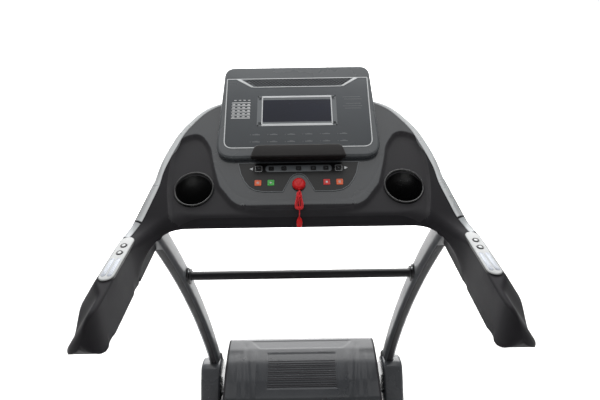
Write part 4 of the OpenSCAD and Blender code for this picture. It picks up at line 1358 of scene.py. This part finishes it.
@dataclass
class DisplayUnit:
    """Console display: housing, printed lens, LCD, speaker mesh and tablet ledge. Millimetres on its own slope."""

    thickness: float = 30.0
    window: tuple[float, float, float, float] = (-91.0, 97.0, 87.0, 179.0)
    bezel: tuple[float, float, float, float] = (-105.0, 90.0, 101.0, 184.0)

    def build(self) -> None:
        """Make every piece of the display."""
        outline = rounded_polygon([(-206, 0), (206, 0), (196, 284), (-196, 284)], [44, 44, 30, 30], 10)
        shell = slab(outline, -self.thickness, 0, 6.5, DISPLAY, both=True, steps=5)
        housing = make_object("display_shell", *shell, DISPLAY_ABS, "base", 40)
        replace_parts(housing, "display_housing")
        film = rounded_polygon([(-186, 26), (186, 26), (189, 243), (-189, 243)], [24, 24, 2.5, 2.5], 9)
        lens = make_object("lens_film", *slab(film, -0.6, 0.45, 0.2, DISPLAY), LENS_FILM, "base", 30)
        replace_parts(lens, "display_lens")
        make_object("lens_outline", *frame_strip(film, 2.3, 0.3, 0.95, DISPLAY), PRINT_SILVER, "base", 30)
        self._grille()
        self._screen()
        self._legends()
        self._ledge()

    def _screen(self) -> None:
        """LCD glass in its silver frame and grey surround."""
        x0, v0, x1, v1 = self.window
        make_object("lcd_glass_pane", *slab(box_outline(*self.window), -0.5, 0.75, 0.2, DISPLAY), LCD_GLASS, "base", 30)
        make_object("lcd_surround", *frame_strip(box_outline(*self.bezel, 3), 12.5, 0.3, 0.8, DISPLAY), PRINT_GREY,
                    "base", 30)
        parts = [frame_strip(box_outline(x0 - 2.2, v0 - 2.6, x1 + 2.2, v1 + 2.2, 1.5), 2.6, 0.3, 1.2, DISPLAY)]
        parts.append(slab(box_outline(x0 - 2.2, v0 - 6.4, x1 + 2.2, v0 - 2.6), 0.3, 1.0, 0.2, DISPLAY))
        parts.append(slab(box_outline(x0 - 2.2, v1 + 2.2, x1 + 2.2, v1 + 5.0), 0.3, 1.0, 0.2, DISPLAY))
        make_object("lcd_frame", *merge(parts), PRINT_SILVER, "base", 30)

    def _grille(self) -> None:
        """Trapezoid speaker band: silver rails and a field of raised diamonds."""
        low, high, half_low, half_high = 214.0, 241.0, 117.0, 152.0
        rails = []
        for side in (-1, 1):
            outline = np.array([(side * half_low - 3, low), (side * half_low + 6, low), (side * half_high + 12, high),
                                (side * half_high, high)])
            if side < 0:
                outline = np.array([(side * half_low - 6, low), (side * half_low + 3, low), (side * half_high, high),
                                    (side * half_high - 12, high)])
            rails.append(slab(outline, 0.3, 1.0, 0.2, DISPLAY))
        rails.append(slab(box_outline(-half_low, low - 1.0, half_low, low + 1.2, 0.6), 0.3, 1.0, 0.2, DISPLAY))
        make_object("grille_rails", *merge(rails), PRINT_SILVER, "base", 30)
        spots = []
        for row in range(6):
            v = low + 4.0 + 4.1 * row
            reach = half_low + (half_high - half_low) * (v - low) / (high - low) - 7
            n = int(reach // 9.6)
            places = [(i + 0.5 * (row % 2)) * 9.6 for i in range(-n, n + 1)]
            spots += [(x, v, 0.45) for x in places if abs(x) < reach]
        diamond = np.array([(-4.5, 0, 0), (0, -1.75, 0), (4.5, 0, 0), (0, 1.75, 0), (-3.0, 0, 0.7), (0, -1.1, 0.7),
                            (3.0, 0, 0.7), (0, 1.1, 0.7)])
        faces = [[4, 5, 6, 7], [0, 1, 5, 4], [1, 2, 6, 5], [2, 3, 7, 6], [3, 0, 4, 7], [3, 2, 1, 0]]
        repeat_on_points("grille_mesh", DISPLAY.place(np.array(spots)), (diamond, faces), (DISPLAY.tilt, 0, 0),
                         UNDER_ABS, "base")

    def _bar(self, x0: float, v0: float, x1: float, v1: float, r: float = 0.3, top: float = 0.75) -> Skin:
        """One printed bar on the film."""
        return slab(box_outline(x0, v0, x1, v1, r), 0.3, top, 0.1, DISPLAY)

    def _legends(self) -> None:
        """Plain printed marks: a small table, two rows of short bars and a faint note block."""
        bars = []
        for row in range(6):
            v = 116 + 9.6 * row
            bars.append(self._bar(-172, v - 1.1, -123, v + 1.1))
        for col in range(4):
            bars.append(self._bar(-166 + 12 * col, 171, -160 + 12 * col, 173))
            for row in range(5):
                bars.append(self._bar(-170 + 13 * col, 118.8 + 9.6 * row, -163 + 13 * col, 121.4 + 9.6 * row, top=0.7))
        make_object("speed_table_print", *merge(bars), PRINT_WHITE, "base", 30)
        marks = []
        for v in (65.0, 44.0):
            for k in range(6):
                x = -110 + 44 * k
                marks.append(self._bar(x - 11, v - 1.0, x - 9, v + 1.0))
                marks.append(self._bar(x - 5, v - 1.6, x + 14, v + 0.8, 0.5))
                marks.append(self._bar(x + 1, v + 1.4, x + 9, v + 2.6, 0.4, 0.7))
        for k, v in enumerate((178, 171, 157, 149, 142)):
            marks.append(self._bar(118 + 4 * (k % 3), v - 0.8, 165 + 3 * (k % 2), v + 0.8, top=0.6))
        make_object("programme_print", *merge(marks), PRINT_GREY, "base", 30)

    def _ledge(self) -> None:
        """Soft tablet ledge with a lip along its top edge."""
        outline = rounded_polygon([(-116, -14), (116, -14), (105, 20), (-105, 20)], [4, 4, 16, 16], 8)
        parts = [slab(outline, 12, 27.0, 3.2, DISPLAY, both=True, steps=4)]
        root = box_outline(-108, -9, 108, 5, 3)
        parts.append(slab(root, -3, 14, 0.5, DISPLAY))
        ledge = make_object("tablet_ledge_pad", *merge(parts), LEDGE_RUBBER, "base", 40)
        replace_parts(ledge, "tablet_ledge")


# ---- control panel and keys

@dataclass(frozen=True)
class PanelKey:
    """One console key: its node, its middle and size on the slope, and its finish."""

    name: str
    x: float
    v: float
    wide: float
    tall: float
    finish: Finish


@dataclass
class ControlPanel:
    """Printed overlay with its outline, pill band and key rims. Millimetres on the console's slope."""

    top_face: float = 1.2
    half: tuple = ((0, 103), (6, 103), (13, 100), (20, 92), (38, 54), (84, 54), (104, 58), (119, 68), (131, 84),
                   (141, 106), (149, 138))
    band_keys: tuple[float, ...] = (-67, -36, 0, 36, 67)
    keys: tuple[PanelKey, ...] = (
        PanelKey("speed_down_key", -98, 120, 13, 12, KEY_BLACK), PanelKey("quick_1_key", -67, 120, 12, 12, KEY_BLACK),
        PanelKey("quick_2_key", -36, 120, 12, 12, KEY_BLACK), PanelKey("quick_3_key", 0, 120, 12, 12, KEY_BLACK),
        PanelKey("quick_4_key", 36, 120, 12, 12, KEY_BLACK), PanelKey("quick_5_key", 67, 120, 12, 12, KEY_BLACK),
        PanelKey("speed_up_key", 98, 120, 13, 12, KEY_BLACK), PanelKey("program_key", -98, 79, 16, 16, KEY_ORANGE),
        PanelKey("start_key", -67, 79, 16, 16, KEY_GREEN), PanelKey("stop_key", 67, 79, 16, 16, KEY_RED),
        PanelKey("mode_key", 98, 79, 16, 16, KEY_ORANGE))
    # inset and height of each ring of a cap: its stem, rounded rim and dished top
    cap_rings: tuple = ((0, -7), (0, 1.9), (0.25, 2.4), (0.7, 2.6), (1.6, 2.6), (2.1, 2.35), (3.2, 2.25))

    def outline(self) -> np.ndarray:
        """The overlay's outline, counter-clockwise."""
        half = np.array(self.half, float)
        return np.vstack([half, (half * (-1, 1))[::-1][:-1]])

    def build(self) -> None:
        """Make the overlay's printed outline, its prints and the raised keys."""
        h = self.top_face
        strip = frame_strip(inset_outline(self.outline(), -0.4), 1.6, h - 0.6, h + 0.35, CONSOLE)
        make_object("panel_outline", *strip, PRINT_GREY, "base", 30)
        holes = [box_outline(x - 6.4, 113.6, x + 6.4, 126.4, 2.4, 5) for x in self.band_keys]
        pill = box_outline(-81, 110.5, 81, 129.5, 9, 8)
        band = pierced_plate(pill, ((0, h + 0.08), (0.08, h + 0.12)), h - 0.4, holes, CONSOLE)
        make_object("quick_key_band", *band, PRINT_GREY, "base", 30)
        marks = []
        for side, _ in SIDES:
            arrow = np.array([(side * 112, 115.5), (side * 120, 120), (side * 112, 124.5)])
            marks.append(slab(arrow if side > 0 else arrow[::-1], h - 0.3, h + 0.35, 0.1, CONSOLE))
            rim = box_outline(side * 98 - 8.6, 111.5, side * 98 + 8.6, 128.5, 3)
            marks.append(frame_strip(rim, 0.9, h - 0.3, h + 0.35, CONSOLE))
        make_object("panel_arrows", *merge(marks), PRINT_SILVER, "base", 30)
        self._caps()

    def _caps(self) -> None:
        """Dish-topped key caps, each on its own body."""
        for key in self.keys:
            half_w, half_t = key.wide / 2, key.tall / 2
            outline = box_outline(key.x - half_w, key.v - half_t, key.x + half_w, key.v + half_t, 2.2, 5)
            verts, faces = rings_to_mesh([at_height(inset_outline(outline, d) if d else outline, h) for d,
                                          h in self.cap_rings])
            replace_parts(make_object(key.name + "_cap", CONSOLE.place(verts), faces, key.finish, key.name, 40), key.name)
            ink = PRINT_GREY if key.finish is KEY_BLACK else PRINT_WHITE
            make_object(key.name + "_mark", *self._mark(key.name, key.x, key.v), ink, key.name, 30)

    def _mark(self, name: str, x: float, v: float) -> Skin:
        """The raised sign on a key: minus, plus, or a short bar pattern.

        Args:
            name: The key.
            x: Its middle across the console.
            v: Its middle up the slope.

        Returns:
            Points and faces.
        """
        def bar(cx: float, cv: float, w: float, t: float) -> Skin:
            """One small bar."""
            corners = np.array([(-w / 2, -t / 2), (w / 2, -t / 2), (w / 2, t / 2), (-w / 2, t / 2)])
            return slab(corners + (cx, cv), 2.1, 2.5, 0.08, CONSOLE)
        if name == "speed_down_key":
            return bar(x, v, 5, 1.1)
        if name == "speed_up_key":
            return merge([bar(x, v, 5, 1.1), bar(x, v, 1.1, 5)])
        if name.startswith("quick"):
            count = int(name[6])
            places = np.linspace(x - 2.4, x + 2.4, count) if count > 1 else [x]
            return merge([bar(place, v, 0.7, 4.2) for place in places])
        if name == "start_key":
            tri = np.array([(x - 2.4, v - 3), (x + 3, v), (x - 2.4, v + 3)])
            return slab(tri, 2.1, 2.5, 0.08, CONSOLE)
        if name == "stop_key":
            return bar(x, v, 4.6, 4.6)
        return merge([bar(x, v + d, 6, 1.0) for d in (-2.2, 0, 2.2)])


# ---- silver trims along the console

@dataclass
class SideTrims:
    """Silver bands along both outer edges of the body, each in two lengths with a seam. Millimetres."""

    body: ConsoleBody
    width: float = 18.0
    seam_y: float = 346.0
    seam_half: float = 0.4
    low_y: float = 298.0
    back_x: float = 120.0
    # share of the width, and height over the body, of each point across the band
    section: tuple = ((0.05, -3.0), (0.05, 0.6), (0.08, 1.1), (0.16, 1.45), (0.35, 1.6), (0.65, 1.6), (0.85, 1.4),
                      (0.94, 1.0), (0.97, 0.5), (0.97, -10.0))

    def path(self) -> tuple[np.ndarray, np.ndarray]:
        """The outer edge of the right band and its width, from behind the display to the keypad.

        Returns:
            Points in plan, and one width a point.
        """
        half = smooth_path(self.body.front, 420)[::-1]
        line = half[:int(np.argmax(half[:, 1] < self.low_y))]
        line = line[line[:, 0] > self.back_x]
        line[:, 0] = np.minimum(line[:, 0], np.where(line[:, 1] < 440, self.body.flank_line(line[:, 1]) + 1.5, 1e3))
        line = smooth_path(line[::10].tolist() + [line[-1].tolist()], 190)
        width = np.interp(line[:, 1], (290, 520, 600, 645), (self.width, self.width, 13, 7))
        return line, width

    def build(self) -> None:
        """Make both lengths on both sides."""
        line, width = self.path()
        step = np.gradient(line, axis=0)
        step /= np.linalg.norm(step, axis=1, keepdims=True)
        inward = np.column_stack([step[:, 1], -step[:, 0]])
        inward *= np.sign((inward * (np.array([0.0, 450.0]) - line)).sum(1, keepdims=True))
        heights = np.array([h for _, h in self.section])
        for name, keep, finish in (("side_trim_upper", line[:, 1] >= self.seam_y + self.seam_half, SILVER_ABS),
                                   ("side_trim_lower", line[:, 1] <= self.seam_y - self.seam_half, TRIM_GREY)):
            rings = []
            for p, n, w in zip(line[keep], inward[keep], width[keep]):
                xy = np.array([p + n * w * t for t, _ in self.section])
                rings.append(np.column_stack([xy, self.body.top(xy, False) + heights]))
            obj = make_object(name, *mirrored(rings_to_mesh(rings)), finish, "base", 40)
            if finish is SILVER_ABS:
                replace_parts(obj, "side_trims")


# ---- handrail keypads

@dataclass
class HandrailKeypads:
    """Pearl keypad plates with round keys and ribbed pulse plates. Millimetres on the handrail's slope."""

    x: float = 371.0
    s: float = 230.0
    length: float = 138.0
    width: float = 30.0
    blade_s: float = 199.0
    key_steps: tuple = ((38, "front"), (14, "rear"))
    # height and radius of each ring of a cap, from its foot over the rim into its well
    cap_profile: tuple = ((0.9, 6.8), (4.3, 6.8), (4.7, 6.4), (4.8, 5.9), (4.7, 5.3), (4.4, 4.6), (4.2, 3.8))
    sign_profile: tuple = ((4.0, 3.6), (4.55, 3.5), (4.75, 3.0), (4.82, 1.4), (4.84, 0.3))

    def _stadium(self, grow: float = 0.0) -> np.ndarray:
        """The plate's outline, counter-clockwise, grown by an amount."""
        w, h = self.width + 2 * grow, self.length + 2 * grow
        return rounded_outline(w, h, w / 2 - 0.01, 12) + (self.x, self.s)

    def build(self) -> None:
        """Make the plates, their gaskets, the pulse plates and the keys."""
        gasket = slab(self._stadium(0.9), -2.0, 2.0, 0.5, ARM)
        make_object("keypad_gaskets", *mirrored(gasket), KEY_BLACK, "base", 40)
        a = np.linspace(0, 2 * math.pi, 40, endpoint=False)
        holes = [np.column_stack([self.x + 7.3 * np.cos(a), self.s + ds + 7.3 * np.sin(a)]) for ds, _ in self.key_steps]
        edge = ((0, 2.2), (0.4, 2.9), (1.2, 3.3), (2.6, 3.5))
        plate = pierced_plate(resampled(self._stadium(), 2.4, closed=True), edge, 0.2, holes, ARM)
        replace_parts(make_object("keypad_shells", *mirrored(plate), KEYPAD_ABS, "base", 40), "keypad_plates")
        blades = [slab(rounded_outline(9.4, 54, 4.4, 8) + (self.x + side * 6.2, self.blade_s), 2.9, 3.9, 0.35, ARM)
                  for side, _ in SIDES]
        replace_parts(make_object("pulse_blades", *mirrored(merge(blades)), PULSE_STEEL, "base", 40), "pulse_plates")
        ribs = np.array([(side * (self.x + dx), self.blade_s, 3.9) for side, _ in SIDES
                         for dx in (-8.9, -6.2, -3.5, 3.5, 6.2, 8.9)])
        unit = slab(rounded_outline(0.9, 44, 0.4, 3), -0.3, 0.35, 0.15)
        repeat_on_points("pulse_blade_ribs", ARM.place(ribs), unit, (ARM.tilt, 0, 0), ZINC, "base")
        for side, label in SIDES:
            for ds, end in self.key_steps:
                self._key(f"rail_key_{label}_{end}", side * self.x, self.s + ds)

    def _key(self, name: str, x: float, s: float) -> None:
        """One round key with a raised rim and a light sign in its middle.

        Args:
            name: The key's node.
            x: Its middle across the machine.
            s: Its middle along the handrail.
        """
        for part, profile, steps, finish in (("_cap", self.cap_profile, 40, KEY_BLACK),
                                             ("_sign", self.sign_profile, 32, PRINT_WHITE)):
            verts, faces = lathe(np.array(profile), (0, 0, 0), "z", steps)
            piece = make_object(name + part, ARM.place(verts + (x, s, 0)), faces, finish, name, 40)
            if part == "_cap":
                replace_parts(piece, name)


# ---- uprights and crossbar

@dataclass
class Uprights:
    """Curved rounded tubes with a black rear strip, and the crossbar with its bolted flanges. Millimetres."""

    centre: tuple[float, float] = (-1850.0, -596.0)
    inner_r: float = 2746.0
    depth: float = 48.0
    width: float = 40.0
    x: float = 350.0
    low: float = 13.4
    high: float = 36.2
    bar_z: float = 823.0
    bar_r: float = 2772.0

    def _arc(self, outline: np.ndarray, a0: float, a1: float, count: int) -> Skin:
        """An outline in (radius, x) swept round the arc.

        Args:
            outline: The outline.
            a0: First angle, in degrees.
            a1: Last angle.
            count: Number of rings.

        Returns:
            Points and faces.
        """
        rings = []
        for a in np.radians(np.linspace(a0, a1, count)):
            y = self.centre[0] + outline[:, 0] * math.cos(a)
            z = self.centre[1] + outline[:, 0] * math.sin(a)
            rings.append(np.column_stack([outline[:, 1], y, z]))
        return rings_to_mesh(rings)

    def build(self) -> None:
        """Make both tubes, their strips and the crossbar."""
        half = [(48, 0), (48, 13), (46, 17.5), (42, 19.7), (37, 20), (14, 20), (9, 18.8), (4.5, 15.6), (1.6, 12),
                (0.6, 9.5), (0.6, 0)]
        tube = np.array(half + [(r, -x) for r, x in half[-2:0:-1]]) + (self.inner_r, self.x)
        strip = rounded_outline(1.4, 18.5, 0.6, 3) + (self.inner_r + 0.7, self.x)
        for side, label in SIDES:
            flip = np.array([side, 1, 1])
            skin = self._arc(tube, self.low, self.high, 110)
            faces = skin[1] if side > 0 else [f[::-1] for f in skin[1]]
            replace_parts(make_object(f"upright_tube_{label}", skin[0] * flip, faces, UPRIGHT_GREY, "base", 40),
                        f"upright_{label}")
        make_object("upright_strips", *mirrored(self._arc(strip, 17.5, 35.2, 90)), UNDER_ABS, "base", 40)
        self._crossbar()

    def _crossbar(self) -> None:
        """A round bar with a stepped flange and two screws at each end."""
        a = math.asin((self.bar_z - self.centre[1]) / self.bar_r)
        y = self.centre[0] + self.bar_r * math.cos(a)
        profile = [(330, 4), (330, 20.4), (329.4, 21), (323, 21), (322.2, 20.2), (321.8, 16), (320.8, 14.2),
                   (319, 13.2), (316, 13)]
        line = profile + [(-x, r) for x, r in profile[::-1]]
        skin = lathe(np.array(line), (0, y, self.bar_z), "x", 56)
        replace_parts(make_object("crossbar_turned", *skin, POWDER_BLACK, "base", 35), "crossbar")
        plate, faces = slab(rounded_outline(34, 62, 12, 8), 0, 4, 0.8)
        c, s = math.cos(a), math.sin(a)
        plates = []
        for side, _ in SIDES:
            placed = np.column_stack([side * (330 - plate[:, 2]), y + plate[:, 0] * c - plate[:, 1] * s,
                                      self.bar_z + plate[:, 0] * s + plate[:, 1] * c])
            plates.append((placed, [f[::-1] for f in faces] if side > 0 else faces))
        make_object("crossbar_flange_plates", *merge(plates), POWDER_BLACK, "base", 35)
        for side, label in SIDES:
            spots = np.array([(side * 326, y - d * s, self.bar_z + d * c) for d in (-25.5, 25.5)])
            repeat_on_points(f"crossbar_screws_{label}", spots, screw_head(3.6, 2.6), (0, -side * math.pi / 2, 0),
                             ZINC, "base")


# ---- boots over the uprights' feet

@dataclass
class AnkleBoots:
    """Gunmetal covers over the uprights' feet, with a collar and screws. Millimetres."""

    inner: float = 322.0
    outer: float = 400.0
    side: tuple = ((635, 66), (851, 66), (851, 120), (839, 190), (823, 235), (806, 258), (785, 270), (755, 272),
                   (733, 262), (705, 215), (673, 150), (643, 100))
    radii: tuple = (13, 13, 20, 40, 30, 16, 14, 16, 18, 60, 60, 14)
    collar_z: float = 266.0
    collar_sunk: float = 14.0
    screws: tuple = ((0.0, 660, 84), (0.0, 826, 90), (0.0, 770, 236))

    def build(self) -> None:
        """Make both covers, their seams, collars and screws."""
        line = resampled(rounded_polygon(list(self.side), list(self.radii), 6), 7.0, closed=True)
        verts, faces = slab(line, self.inner, self.outer, 11.0, FLAT, True, 6)
        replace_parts(make_object("boot_covers", *mirrored((verts[:, [2, 0, 1]], faces)), BOOT_ABS, "base", 35), "boots")
        verts, faces = frame_strip(inset_outline(line, 10.4), 1.4, self.outer - 0.1, self.outer + 0.25, FLAT)
        make_object("boot_seams", *mirrored((verts[:, [2, 0, 1]], faces)), UNDER_ABS, "base", 35)
        self._collars()
        for side, label in SIDES:
            repeat_on_points(f"boot_screws_{label}", np.array(self.screws) + (side * self.outer, 0, 0),
                             screw_head(4.2, 1.8), (0, side * math.pi / 2, 0), ZINC, "base")

    def _collars(self) -> None:
        """A stepped sleeve round each tube where it leaves its cover."""
        tube = Uprights()
        sleeve = rounded_outline(60, 52, 12, 8)
        middle = tube.inner_r + tube.depth / 2
        turn = math.asin((self.collar_z - tube.centre[1]) / middle)
        rings = []
        for rise, inset in ((0, 0), (4, 0.6), (6, 2.2), (6, 5.5), (-2, 6.0)):
            ring = inset_outline(sleeve, inset)
            radius = middle + ring[:, 0]
            a = turn + (rise - 3) / radius
            rings.append(np.column_stack([tube.x + ring[:, 1], tube.centre[0] + radius * np.cos(a),
                                          tube.centre[1] + radius * np.sin(a)]))
        sunk = (0, 0, self.collar_sunk)
        skin = rings_to_mesh([rings[0] - sunk] + rings + [rings[-1] - sunk])
        make_object("boot_collars", *mirrored(skin), KEY_BLACK, "base", 35)


# ---- motor hood

@dataclass
class MotorHood:
    """The moulded hood: a recessed band, creases, a ribbed middle and dark cheeks. Millimetres."""

    half_width: float = 300.0
    cheek: float = 291.0
    wall: float = 3.0
    rib_half: float = 138.0
    rib_pitch: float = 8.0
    hole: tuple[float, float, float, float] = (-228.6, -211.4, 186.6, 213.4)
    side: tuple = ((600, 164), (888, 164), (888, 254), (878, 281), (862, 297), (842, 306), (798, 303), (743, 286),
                   (678, 254), (626, 224), (606, 206), (600, 196))
    radii: tuple = (2, 2, 20, 20, 16, 12, 60, 120, 120, 30, 10, 6)

    def build(self) -> None:
        """Loft the side line across the machine with its moulded features."""
        line = resampled(rounded_polygon(list(self.side), list(self.radii), 8), 3.0, closed=True)
        line = np.roll(line, -int(np.argmin(((line - (600, 164)) ** 2).sum(1))), axis=0)
        for z in self.hole[2:]:
            front = np.where(line[:, 0] > 887, np.abs(line[:, 1] - z), 1e3)
            line[int(np.argmin(front))] = (888, z)
        crown = int(np.argmin(((line - (842, 306)) ** 2).sum(1)))
        travel = np.cumsum(np.r_[0, np.linalg.norm(np.diff(line, axis=0), axis=1)])
        run = travel - travel[crown]
        keep = np.flatnonzero((line[:, 1] > 165.2) & ((line[:, 1] > 190.5) | (line[:, 0] > 700)))
        count = len(keep)
        xs = np.unique(np.round(np.concatenate([np.arange(-288, 289, 4.8), np.linspace(-291, -300, 8),
                                                np.linspace(291, 300, 8),
                                                (-139.5, -137.5, 137.5, 139.5), self.hole[:2]]), 2))
        xs = xs[~((np.abs(xs - self.hole[0]) < 1.2) | (np.abs(xs - self.hole[1]) < 1.2)) | np.isin(xs, self.hole[:2])]
        rings = []
        for x in xs:
            d = self.depth(abs(x), run)[:, None]
            skin, lining = inset_outline(line, d)[keep], inset_outline(line, np.minimum(d, 9) + self.wall)[keep]
            rings.append(np.column_stack([np.full(2 * count, x), np.vstack([skin, lining[::-1]])]))
        verts, faces = rings_to_mesh(rings)
        faces = self._opened(faces, xs, count, line[keep])
        end = slab(inset_outline(line, 7.9), self.half_width - 4, self.half_width, 0.6)
        plate = (end[0][:, [2, 0, 1]], end[1])
        obj = make_object("hood_shell", *merge([(verts, faces), mirrored(plate)]), HOOD_ABS, "deck", 38)
        obj.data.materials.append(UNDER_ABS.material())
        middle = np.zeros(len(obj.data.polygons) * 3)
        obj.data.polygons.foreach_get("center", middle)
        edge = np.abs(middle.reshape(-1, 3)[:, 0]) / MM > self.cheek
        obj.data.polygons.foreach_set("material_index", edge.astype(int))
        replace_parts(obj, "motor_hood")
        self._ribs(line, run)
        self._fixings()

    def _opened(self, faces: list, xs: np.ndarray, count: int, path: np.ndarray) -> list:
        """Cut the switch's opening through both skins and wall it.

        Args:
            faces: The hood's faces.
            xs: Where its rings stand across the machine.
            count: Points of one skin in a ring.
            path: The side line that the rings follow.

        Returns:
            The faces with the opening.
        """
        i0, i1 = int(np.argmin(np.abs(xs - self.hole[0]))), int(np.argmin(np.abs(xs - self.hole[1])))
        front = path[:, 0] > 887
        k0, k1 = sorted(int(np.argmin(np.where(front, np.abs(path[:, 1] - z), 1e3))) for z in self.hole[2:])
        n = 2 * count
        gone = {(i, k) for i in range(i0, i1) for k in range(k0, k1)} | \
            {(i, n - 2 - k) for i in range(i0, i1) for k in range(k0, k1)}
        kept = [f for f in faces if len(f) > 4 or (f[0] // n, f[0] % n) not in gone]
        for k in range(k0, k1):
            kept += [[i * n + j for j in (k, k + 1, n - 2 - k, n - 1 - k)] for i in (i0, i1)]
        for i in range(i0, i1):
            kept += [[i * n + k, (i + 1) * n + k, (i + 2) * n - 1 - k, (i + 1) * n - 1 - k] for k in (k0, k1)]
        return kept

    def depth(self, x: float, run: np.ndarray) -> np.ndarray:
        """How far the skin lies below the plain side line.

        Args:
            x: Distance from the middle plane.
            run: Distance along the side line from its crown.

        Returns:
            One depth a point of the line.
        """
        over = min(max(x - self.cheek, 0.0), 9.0)
        edge = (9.0 - math.sqrt(81.0 - over ** 2)) * 0.9
        live = ease((run + 2) / 6) * ease((262 - run) / 20)
        band_half = np.interp(run, (0, 45), (212, 171))
        band = ease((band_half - x) / 5) * ease((run - 2) / 4) * ease((46 - run) / 5)
        inner = np.interp(run, (0, 60, 260), (196, 184, 174))
        outer = np.interp(run, (0, 60, 260), (230, 220, 196))
        ridge = np.exp(-((x - inner) / 7.0) ** 2) * ease((run - 45) / 30)
        hollow = np.exp(-((x - outer) / 9.0) ** 2) * ease((run - 6) / 30)
        cheek = np.exp(-((x - np.interp(run, (0, 260), (256, 246))) / 6.0) ** 2) * ease((run - 20) / 60)
        pad = ease((self.rib_half - x) / 2.5) * ease((run - 64) / 4) * ease((206 - run) / 6)
        step = 2.4 * ease((x - outer) / 30) * ease((run - 10) / 60)
        relief = 1.0 + 1.8 * band + 2.2 * hollow + step - 1.0 * ridge - 0.8 * cheek + 1.2 * pad
        return np.maximum(edge + live * relief, 0.0)

    def _ribs(self, line: np.ndarray, run: np.ndarray) -> None:
        """Fine ribs across the recessed middle.

        Args:
            line: The side line.
            run: Distance along it from its crown.
        """
        points, turns = [], []
        for at in np.arange(100, 200, self.rib_pitch):
            k = int(np.argmin(np.abs(run - at)))
            t = line[k + 1] - line[k - 1]
            t /= np.linalg.norm(t)
            inward = np.array([-t[1], t[0]])
            points.append((0, *(line[k] + inward * 2.2)))
            turns.append((math.atan2(inward[0], -inward[1]), 0, 0))
        unit = slab(rounded_outline(2 * self.rib_half - 12, 3.4, 1.6, 3), -0.6, 0.9, 0.5)
        repeat_on_points("hood_ribs", np.array(points), unit, np.array(turns), UNDER_ABS, "deck")

    def _fixings(self) -> None:
        """Screws along both cheeks, and a bezel round the switch."""
        for side, label in SIDES:
            spots = np.array([(side * self.half_width, y, 182) for y in (640, 740, 850)], float)
            repeat_on_points(f"hood_screws_{label}", spots, screw_head(3.8, 1.6), (0, side * math.pi / 2, 0),
                             ZINC, "deck")
        x0, x1, z0, z1 = self.hole
        strip = frame_strip(box_outline(x0 - 5, z0 - 5, x1 + 5, z1 + 5, 3, 5), 4.9, 887.6, 889.4, FLAT)
        make_object("switch_bezel", strip[0][:, [0, 2, 1]], strip[1], KEY_BLACK, "deck", 35)


# ---- deck, wheels and small fixings

@dataclass
class DeckDetails:
    """Grip ribs on the foot rails, wheel tyres and the console's underside screws. Millimetres."""

    body: ConsoleBody
    rail_top: float = 195.6
    rail_y: tuple[float, float] = (-890.0, 594.0)
    wheel_at: Point = (377.0, 885.0, 27.0)

    def build(self) -> None:
        """Make every detail."""
        mid, span = sum(self.rail_y) / 2, self.rail_y[1] - self.rail_y[0]
        xs = [side * x for side in (-1, 1) for x in np.arange(260, 311, 6.2)]
        unit = slab(rounded_outline(2.0, span, 0.9, 4), -0.4, 0.9, 0.4)
        repeat_on_points("foot_rail_ribs", np.array([(x, mid, self.rail_top) for x in xs]), unit, (0, 0, 0),
                         FOOTRAIL_ABS, "deck")
        spots = [(x, y, 0) for x in (-225, -75, 75, 225) for y in (420, 500)] + [(-150, 590, 0), (150, 590, 0)]
        spots = np.array(spots, float)
        spots[:, 2] = self.body.bottom(spots[:, :2]) - 0.2
        repeat_on_points("console_underside_screws", spots, screw_head(3.4, 1.6), (math.pi, 0, 0), ZINC, "base")
        for side, label in SIDES:
            self._wheel(side, label)

    def _wheel(self, side: int, label: str) -> None:
        """A tyre with rounded shoulders and a dished hub.

        Args:
            side: -1 or 1.
            label: "left" or "right".
        """
        profile = np.array([(0.2, 5.2), (0.2, 12.5), (1.2, 14), (3.4, 15.5), (3.4, 19.5), (0.8, 20.6), (0.4, 22.6),
                            (1.0, 24), (2.6, 24.9), (15.4, 24.9), (17, 24), (17.6, 22.6), (17.2, 20.6), (14.6, 19.5),
                            (14.6, 15.5), (16.8, 14), (17.8, 12.5), (17.8, 5.2), (0.2, 5.2)])
        verts, faces = lathe(profile, self.wheel_at, "x", 64, False)
        wheel = make_object(f"wheel_tyre_{label}", verts * (side, 1, 1), faces, WHEEL_TYRE, f"wheel_{label}", 40)
        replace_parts(wheel, f"wheel_{label}")
        spokes = np.array([(side * (self.wheel_at[0] + 14.6), self.wheel_at[1] + 17.5 * math.cos(a),
                            self.wheel_at[2] + 17.5 * math.sin(a))
                           for a in np.linspace(0, 2 * math.pi, 8, endpoint=False)])
        repeat_on_points(f"wheel_studs_{label}", spokes, screw_head(1.4, 1.2), (0, side * math.pi / 2, 0), FOOT_RUBBER,
                         f"wheel_{label}")


def main() -> None:
    """Build the scene: camera and cord first, then every sub-assembly."""
    logging.basicConfig(level=logging.INFO, format="%(message)s")
    Studio().build()
    SafetyLanyard().build()
    body = ConsoleBody()
    body.build()
    CupHolders().build()
    DisplayUnit().build()
    ControlPanel().build()
    SideTrims(body).build()
    HandrailKeypads().build()
    Uprights().build()
    AnkleBoots().build()
    MotorHood().build()
    DeckDetails(body).build()
    dress_frame()


if __name__ == "__main__":
    main()
